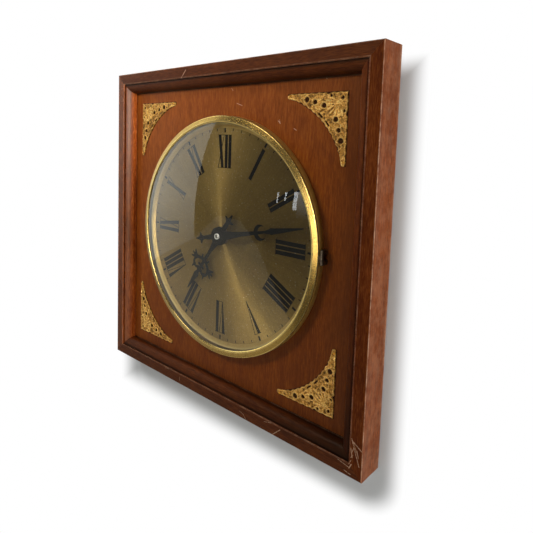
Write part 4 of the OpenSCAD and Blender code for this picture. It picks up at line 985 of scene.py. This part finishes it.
class CLOCK_OT_movement(bpy.types.Operator):
    """Finishes the battery movement behind the dial"""

    bl_idname = "clock.movement"
    bl_label = "Movement"

    def execute(self, context):
        for name, base, settings, nodes in (
                ("case_black_plastic", "#211f1d", (0.5,), "movement_front_case movement_back_case"),
                ("knob_plastic", "#3b3733", (0.4,), "set_knob"),
                ("wheel_ivory_plastic", "#d8d2bf", (0.38, 2.2, 0.08),
                 "hour_wheel motion_wheel third_wheel seconds_wheel intermediate_wheel rotor_pinion"),
                ("arbor_black_acetal", "#171614", (0.5, 2.2, 0.08), "center_wheel"),
                ("fibre_washer", "#6c5a43", (0.7, 3.0, 0.3), "mounting_washer"),
                ("circuit_board", "#2c5532", (0.42, 0.8, 0.1), "circuit_board"),
                ("cell_sleeve", "#2f4f3c", (0.3, 0.6, 0.03), "battery_cell")):
            dress(moulded_finish(name, tint(base), *settings), *nodes.split())
        for name, base, stain, settings, nodes in (
                ("nut_brass", "#caa550", "#6e4d1e", (0.4, 0.3), "mounting_nut"),
                ("magnet_dark", "#5a5853", "#332f2a", (0.4, 0.45), "rotor_magnet"),
                ("stator_iron", "#9a9892", "#5e554a", (0.3, 0.4), "stator"),
                ("coil_copper", "#b8622c", "#6b2f12", (0.3, 0.3, 0.2, (0.4, 0.4, 9.0), 0.5), "motor_coil"),
                ("crystal_can", "#c9c9c4", "#85827a", (0.2, 0.25), "quartz_crystal"),
                ("contact_nickel", "#cbc6b8", "#8c7f66", (0.3, 0.28),
                 "battery_contact_positive battery_contact_negative")):
            dress(metal_finish(name, tint(base), tint(stain), *settings), *nodes.split())
        return {"FINISHED"}


def soft_light(name, spot, aim, wide, tall, watts, tone, glossy=True):
    """An area lamp that faces a point."""
    lamp = bpy.data.lights.new(name, "AREA")
    lamp.shape = "RECTANGLE"
    lamp.size, lamp.size_y = wide, tall
    lamp.energy = watts
    lamp.color = tone
    holder = bpy.data.objects.new(name, lamp)
    holder.location = spot
    holder.rotation_euler = (Vector(aim) - Vector(spot)).to_track_quat("-Z", "Y").to_euler()
    holder.visible_glossy = holder.visible_transmission = glossy
    bpy.context.scene.collection.objects.link(holder)


def stage_sheet(name, corners, finish):
    """A flat sheet of the stage."""
    mesh = bpy.data.meshes.new(name)
    mesh.from_pydata(corners, [], [list(range(len(corners)))])
    mesh.materials.append(finish)
    sheet = bpy.data.objects.new(name, mesh)
    bpy.context.scene.collection.objects.link(sheet)
    return sheet


def standing(start, end, foot, head):
    """Corners of an upright sheet between two points of the floor's plan."""
    return [(*start, foot), (*end, foot), (*end, head), (*start, head)]


def glow_card(name, corners, tone, strength, through=False, fade=None):
    """A card that only shows in glossy surfaces, as a studio's flags and reflectors do, dimmer towards its foot."""
    bench = Finish(name)
    if fade:
        foot, head, share_left = fade
        strength = bench.where().parts()[2].fit(foot, head, share_left * strength, strength)
    card = stage_sheet(name, corners, bench.output(bench.add("Emission", Color=tone, Strength=strength)))
    card.visible_camera = card.visible_diffuse = card.visible_shadow = False
    card.visible_transmission = through


class CLOCK_OT_stage(bpy.types.Operator):
    """Sets the pale wall and floor, the soft lights and the camera"""

    bl_idname = "clock.stage"
    bl_label = "Stage"

    def execute(self, context):
        scene = context.scene
        settings = scene.clock_stage
        scene.view_settings.view_transform = "Standard"
        self.surroundings()
        self.world(scene, settings)
        self.lights(settings)
        self.cards()
        self.camera(scene)
        return {"FINISHED"}

    def surroundings(self):
        half, ground, top = 4, -0.55, 3
        behind = 0.0006
        wall = stage_sheet("pale_wall", standing((-half, behind), (half, behind), ground, top),
                           self.pale_finish("stage_wall", True))
        wall.visible_shadow = False  # the light behind it reaches the back of the case
        stage_sheet("pale_floor", [(-half, -half, ground), (half, -half, ground), (half, half, ground),
                                   (-half, half, ground)], self.pale_finish("stage_floor", False))

    def pale_finish(self, name, one_sided):
        """Matt white that keeps the clock's shadow round it, with a painted shadow past its lower left, and clears to
        white further out where it is seen.
        """
        bench = Finish(name)
        side, _, up = bench.about_axis().parts()
        pale = (0.525, 0.54, 0.555)
        # Painted shadow: the matte darker left of the clock, which shows past its lower left where the glow has not
        # cleared it.
        matte_with_painted_shadow = bench.add("BsdfDiffuse", Color=bench.stains_and_shades(pale, (darker(pale, 0.74), side, -140, -151, 1)))
        corner, bend = 151, 18
        right, below = (bench.most([reach + (bend - corner), 0]) ** 2 for reach in (side, up * -1 - 26))
        away = bench.most([(right + below).root() + (corner - bend),
                           side * -0.77 + up.fit(-125, -150, 53, 38), up + 24])
        clears = bench.add("MapRange", {"interpolation_type": "SMOOTHSTEP"}, Value=away, From_Min=151.5,
                           From_Max=side.fit(-150, 150, 180, 169), To_Min=0.12, To_Max=1.0)
        glow = bench.add("Emission", Color=(1, 1, 1), Strength=1.0)
        shader = bench.mix(bench.seen() * clears, matte_with_painted_shadow, glow)
        if one_sided:
            shader = bench.mix(bench.add("NewGeometry", out="Backfacing"), shader, bench.add("BsdfTransparent"))
        return bench.output(shader)

    def world(self, scene, settings):
        bench = Finish("studio_room", "worlds")
        dim, white = (bench.add("Background", Color=(1, 1, 1), Strength=each) for each in (settings.room, 1.0))
        scene.world = bench.output(bench.mix(bench.seen(), dim, white), "World")

    def lights(self, settings):
        middle = (0, -0.02, AXIS_Z)
        soft_light("key_light", (-0.22, -0.42, 0.2), middle, 0.16, 0.16, settings.key_power, (1.0, 0.97, 0.92), False)
        soft_light("side_light", (1.2, -0.12, 0.12), middle, 0.3, 0.6, settings.side_power, (1.0, 0.97, 0.94), False)
        soft_light("dial_light", (0.22, -1.25, -0.04), middle, 0.12, 0.12, settings.dial_power, (1.0, 0.94, 0.72))
        soft_light("back_light", (-0.3, 0.8, 0.4), middle, 0.5, 0.5, settings.back_power, (1.0, 0.97, 0.94), False)

    def cards(self):
        """Dark flags in front of the clock, with the pale shapes that its glass mirrors."""
        x, y, near, low, high = 2.2, -2.6, -0.02, -0.545, 2.4
        lid, tray = ([(-x, near, z), (x, near, z), (x, y, z), (-x, y, z)] for z in (high, low))
        for name, corners in (("front_flag", standing((-x, y), (x, y), low, high)),
                              ("left_flag", standing((-x, near), (-x, y), low, high)),
                              ("right_flag", standing((x, -0.5), (x, y), low, high)),
                              ("top_flag", lid), ("low_flag", tray)):
            glow_card(name, corners, (0.75, 0.7, 0.63), 0.1, True)
        glow_card("left_window", [(-1.2, -0.95, -0.43), (-1.2, -0.95, 1.2), (-1.2, near, 1.2), (-1.2, near, -0.54)],
                  (0.96, 0.98, 0.92), 1.75, fade=(-420, -80, 0.5))
        warm, ground, front = (1.0, 0.95, 0.82), -0.53, -1.5
        glow_card("low_glow", [(px, -1.2, pz) for px, pz in (
            (-1.58, ground), (-0.385, ground), (-0.44, -0.41), (-0.56, -0.28), (-0.66, -0.2), (-0.99, -0.2),
            (-1.24, -0.35))], warm, 0.5)
        glow_card("floor_glow", [(px, py, ground) for px, py in (
            (-2.15, -1.2), (-0.385, -1.2), (-0.35, -1.12), (-0.19, -0.83), (-0.09, -0.62), (-0.04, -0.51),
            (0.05, -0.3), (0.08, -0.03), (-2.15, -0.03))], warm, 0.5)
        glow_card("right_window", standing((0.42, -1.3), (0.9, -1.1), -0.3, 0.5), (1.0, 0.95, 0.9), 1.8)
        glow_card("window_curtain", standing((-0.165, front), (0.1, front), -0.12, 0.15), (0.95, 0.97, 1.0), 1.7,
                  fade=(-110, 100, 0.1))
        glow_card("high_softbox", [(-0.42, -0.72, 0.42), (-0.1, -0.82, 0.42), (-0.1, -0.68, 0.64),
                                   (-0.42, -0.58, 0.64)], (1.0, 0.96, 0.9), 5.0)
        cold = (0.92, 0.97, 1.0)
        for name, left, right, foot, head, tone, strength, through in (
                ("front_glow", 0.09, 0.28, -0.54, -0.08, (1.0, 0.93, 0.8), 8.0, True),
                ("ring_glow", 0.03, 0.09, -0.4, 0.0, (1.0, 0.96, 0.88), 9.0, False),
                ("front_strip", 0.12, 0.3, -0.07, 0.45, (1.0, 0.95, 0.9), 16.0, False),
                ("window_pane_0", -0.39, -0.372, 0.0, 0.105, cold, 6.0, False),
                ("window_pane_1", -0.304, -0.286, 0.03, 0.11, cold, 8.0, False),
                ("window_pane_2", -0.208, -0.168, -0.045, 0.125, cold, 7.0, False)):
            glow_card(name, standing((left, front), (right, front), foot, head), tone, strength, through)

    def camera(self, scene):
        """A camera whose lens and place were fitted to the corners of the frame in the photo."""
        lens = bpy.data.cameras.new("photo_camera")
        lens.sensor_width = 36
        lens.lens = 32.69
        lens.shift_x, lens.shift_y = 0.0606, -0.1437
        lens.clip_start = 0.01
        holder = bpy.data.objects.new("photo_camera", lens)
        right, up, back = (0.725, 0.6882, 0.027), (-0.0828, 0.0482, 0.9954), (0.6837, -0.724, 0.0919)
        turn = Matrix((right, up, back)).transposed().to_4x4()
        holder.matrix_world = Matrix.Translation((0.2977, -0.3187, -0.042)) @ turn
        scene.collection.objects.link(holder)
        scene.camera = holder


PIECES = (CLOCK_OT_frame_rails, CLOCK_OT_panel_and_hanger, CLOCK_OT_corner_ornaments, CLOCK_OT_dial,
          CLOCK_OT_door, CLOCK_OT_hands, CLOCK_OT_movement, CLOCK_OT_stage)


class CLOCK_PT_sidebar(bpy.types.Panel):
    """Lists the pieces of the clock and their settings"""

    bl_idname = "CLOCK_PT_sidebar"
    bl_label = "Wall clock"
    bl_space_type = "VIEW_3D"
    bl_region_type = "UI"
    bl_category = "Clock"

    def draw(self, context):
        for piece in PIECES:
            self.layout.operator(piece.bl_idname)
        for group in (context.scene.clock_shapes, context.scene.clock_finishes, context.scene.clock_stage):
            for key in type(group).__annotations__:
                self.layout.prop(group, key)


CLASSES = (ClockShapes, ClockFinishes, ClockStage, *PIECES, CLOCK_PT_sidebar)


def register():
    for each in CLASSES:
        bpy.utils.register_class(each)
    bpy.types.Scene.clock_shapes = PointerProperty(type=ClockShapes)
    bpy.types.Scene.clock_finishes = PointerProperty(type=ClockFinishes)
    bpy.types.Scene.clock_stage = PointerProperty(type=ClockStage)


def unregister():
    del bpy.types.Scene.clock_stage, bpy.types.Scene.clock_finishes, bpy.types.Scene.clock_shapes
    for each in reversed(CLASSES):
        bpy.utils.unregister_class(each)


def main():
    register()
    bpy.ops.clock.frame_rails()
    bpy.ops.clock.panel_and_hanger()
    bpy.ops.clock.corner_ornaments()
    bpy.ops.clock.dial()
    bpy.ops.clock.door()
    bpy.ops.clock.hands()
    bpy.ops.clock.movement()
    bpy.ops.clock.stage()


if __name__ == "__main__":
    main()
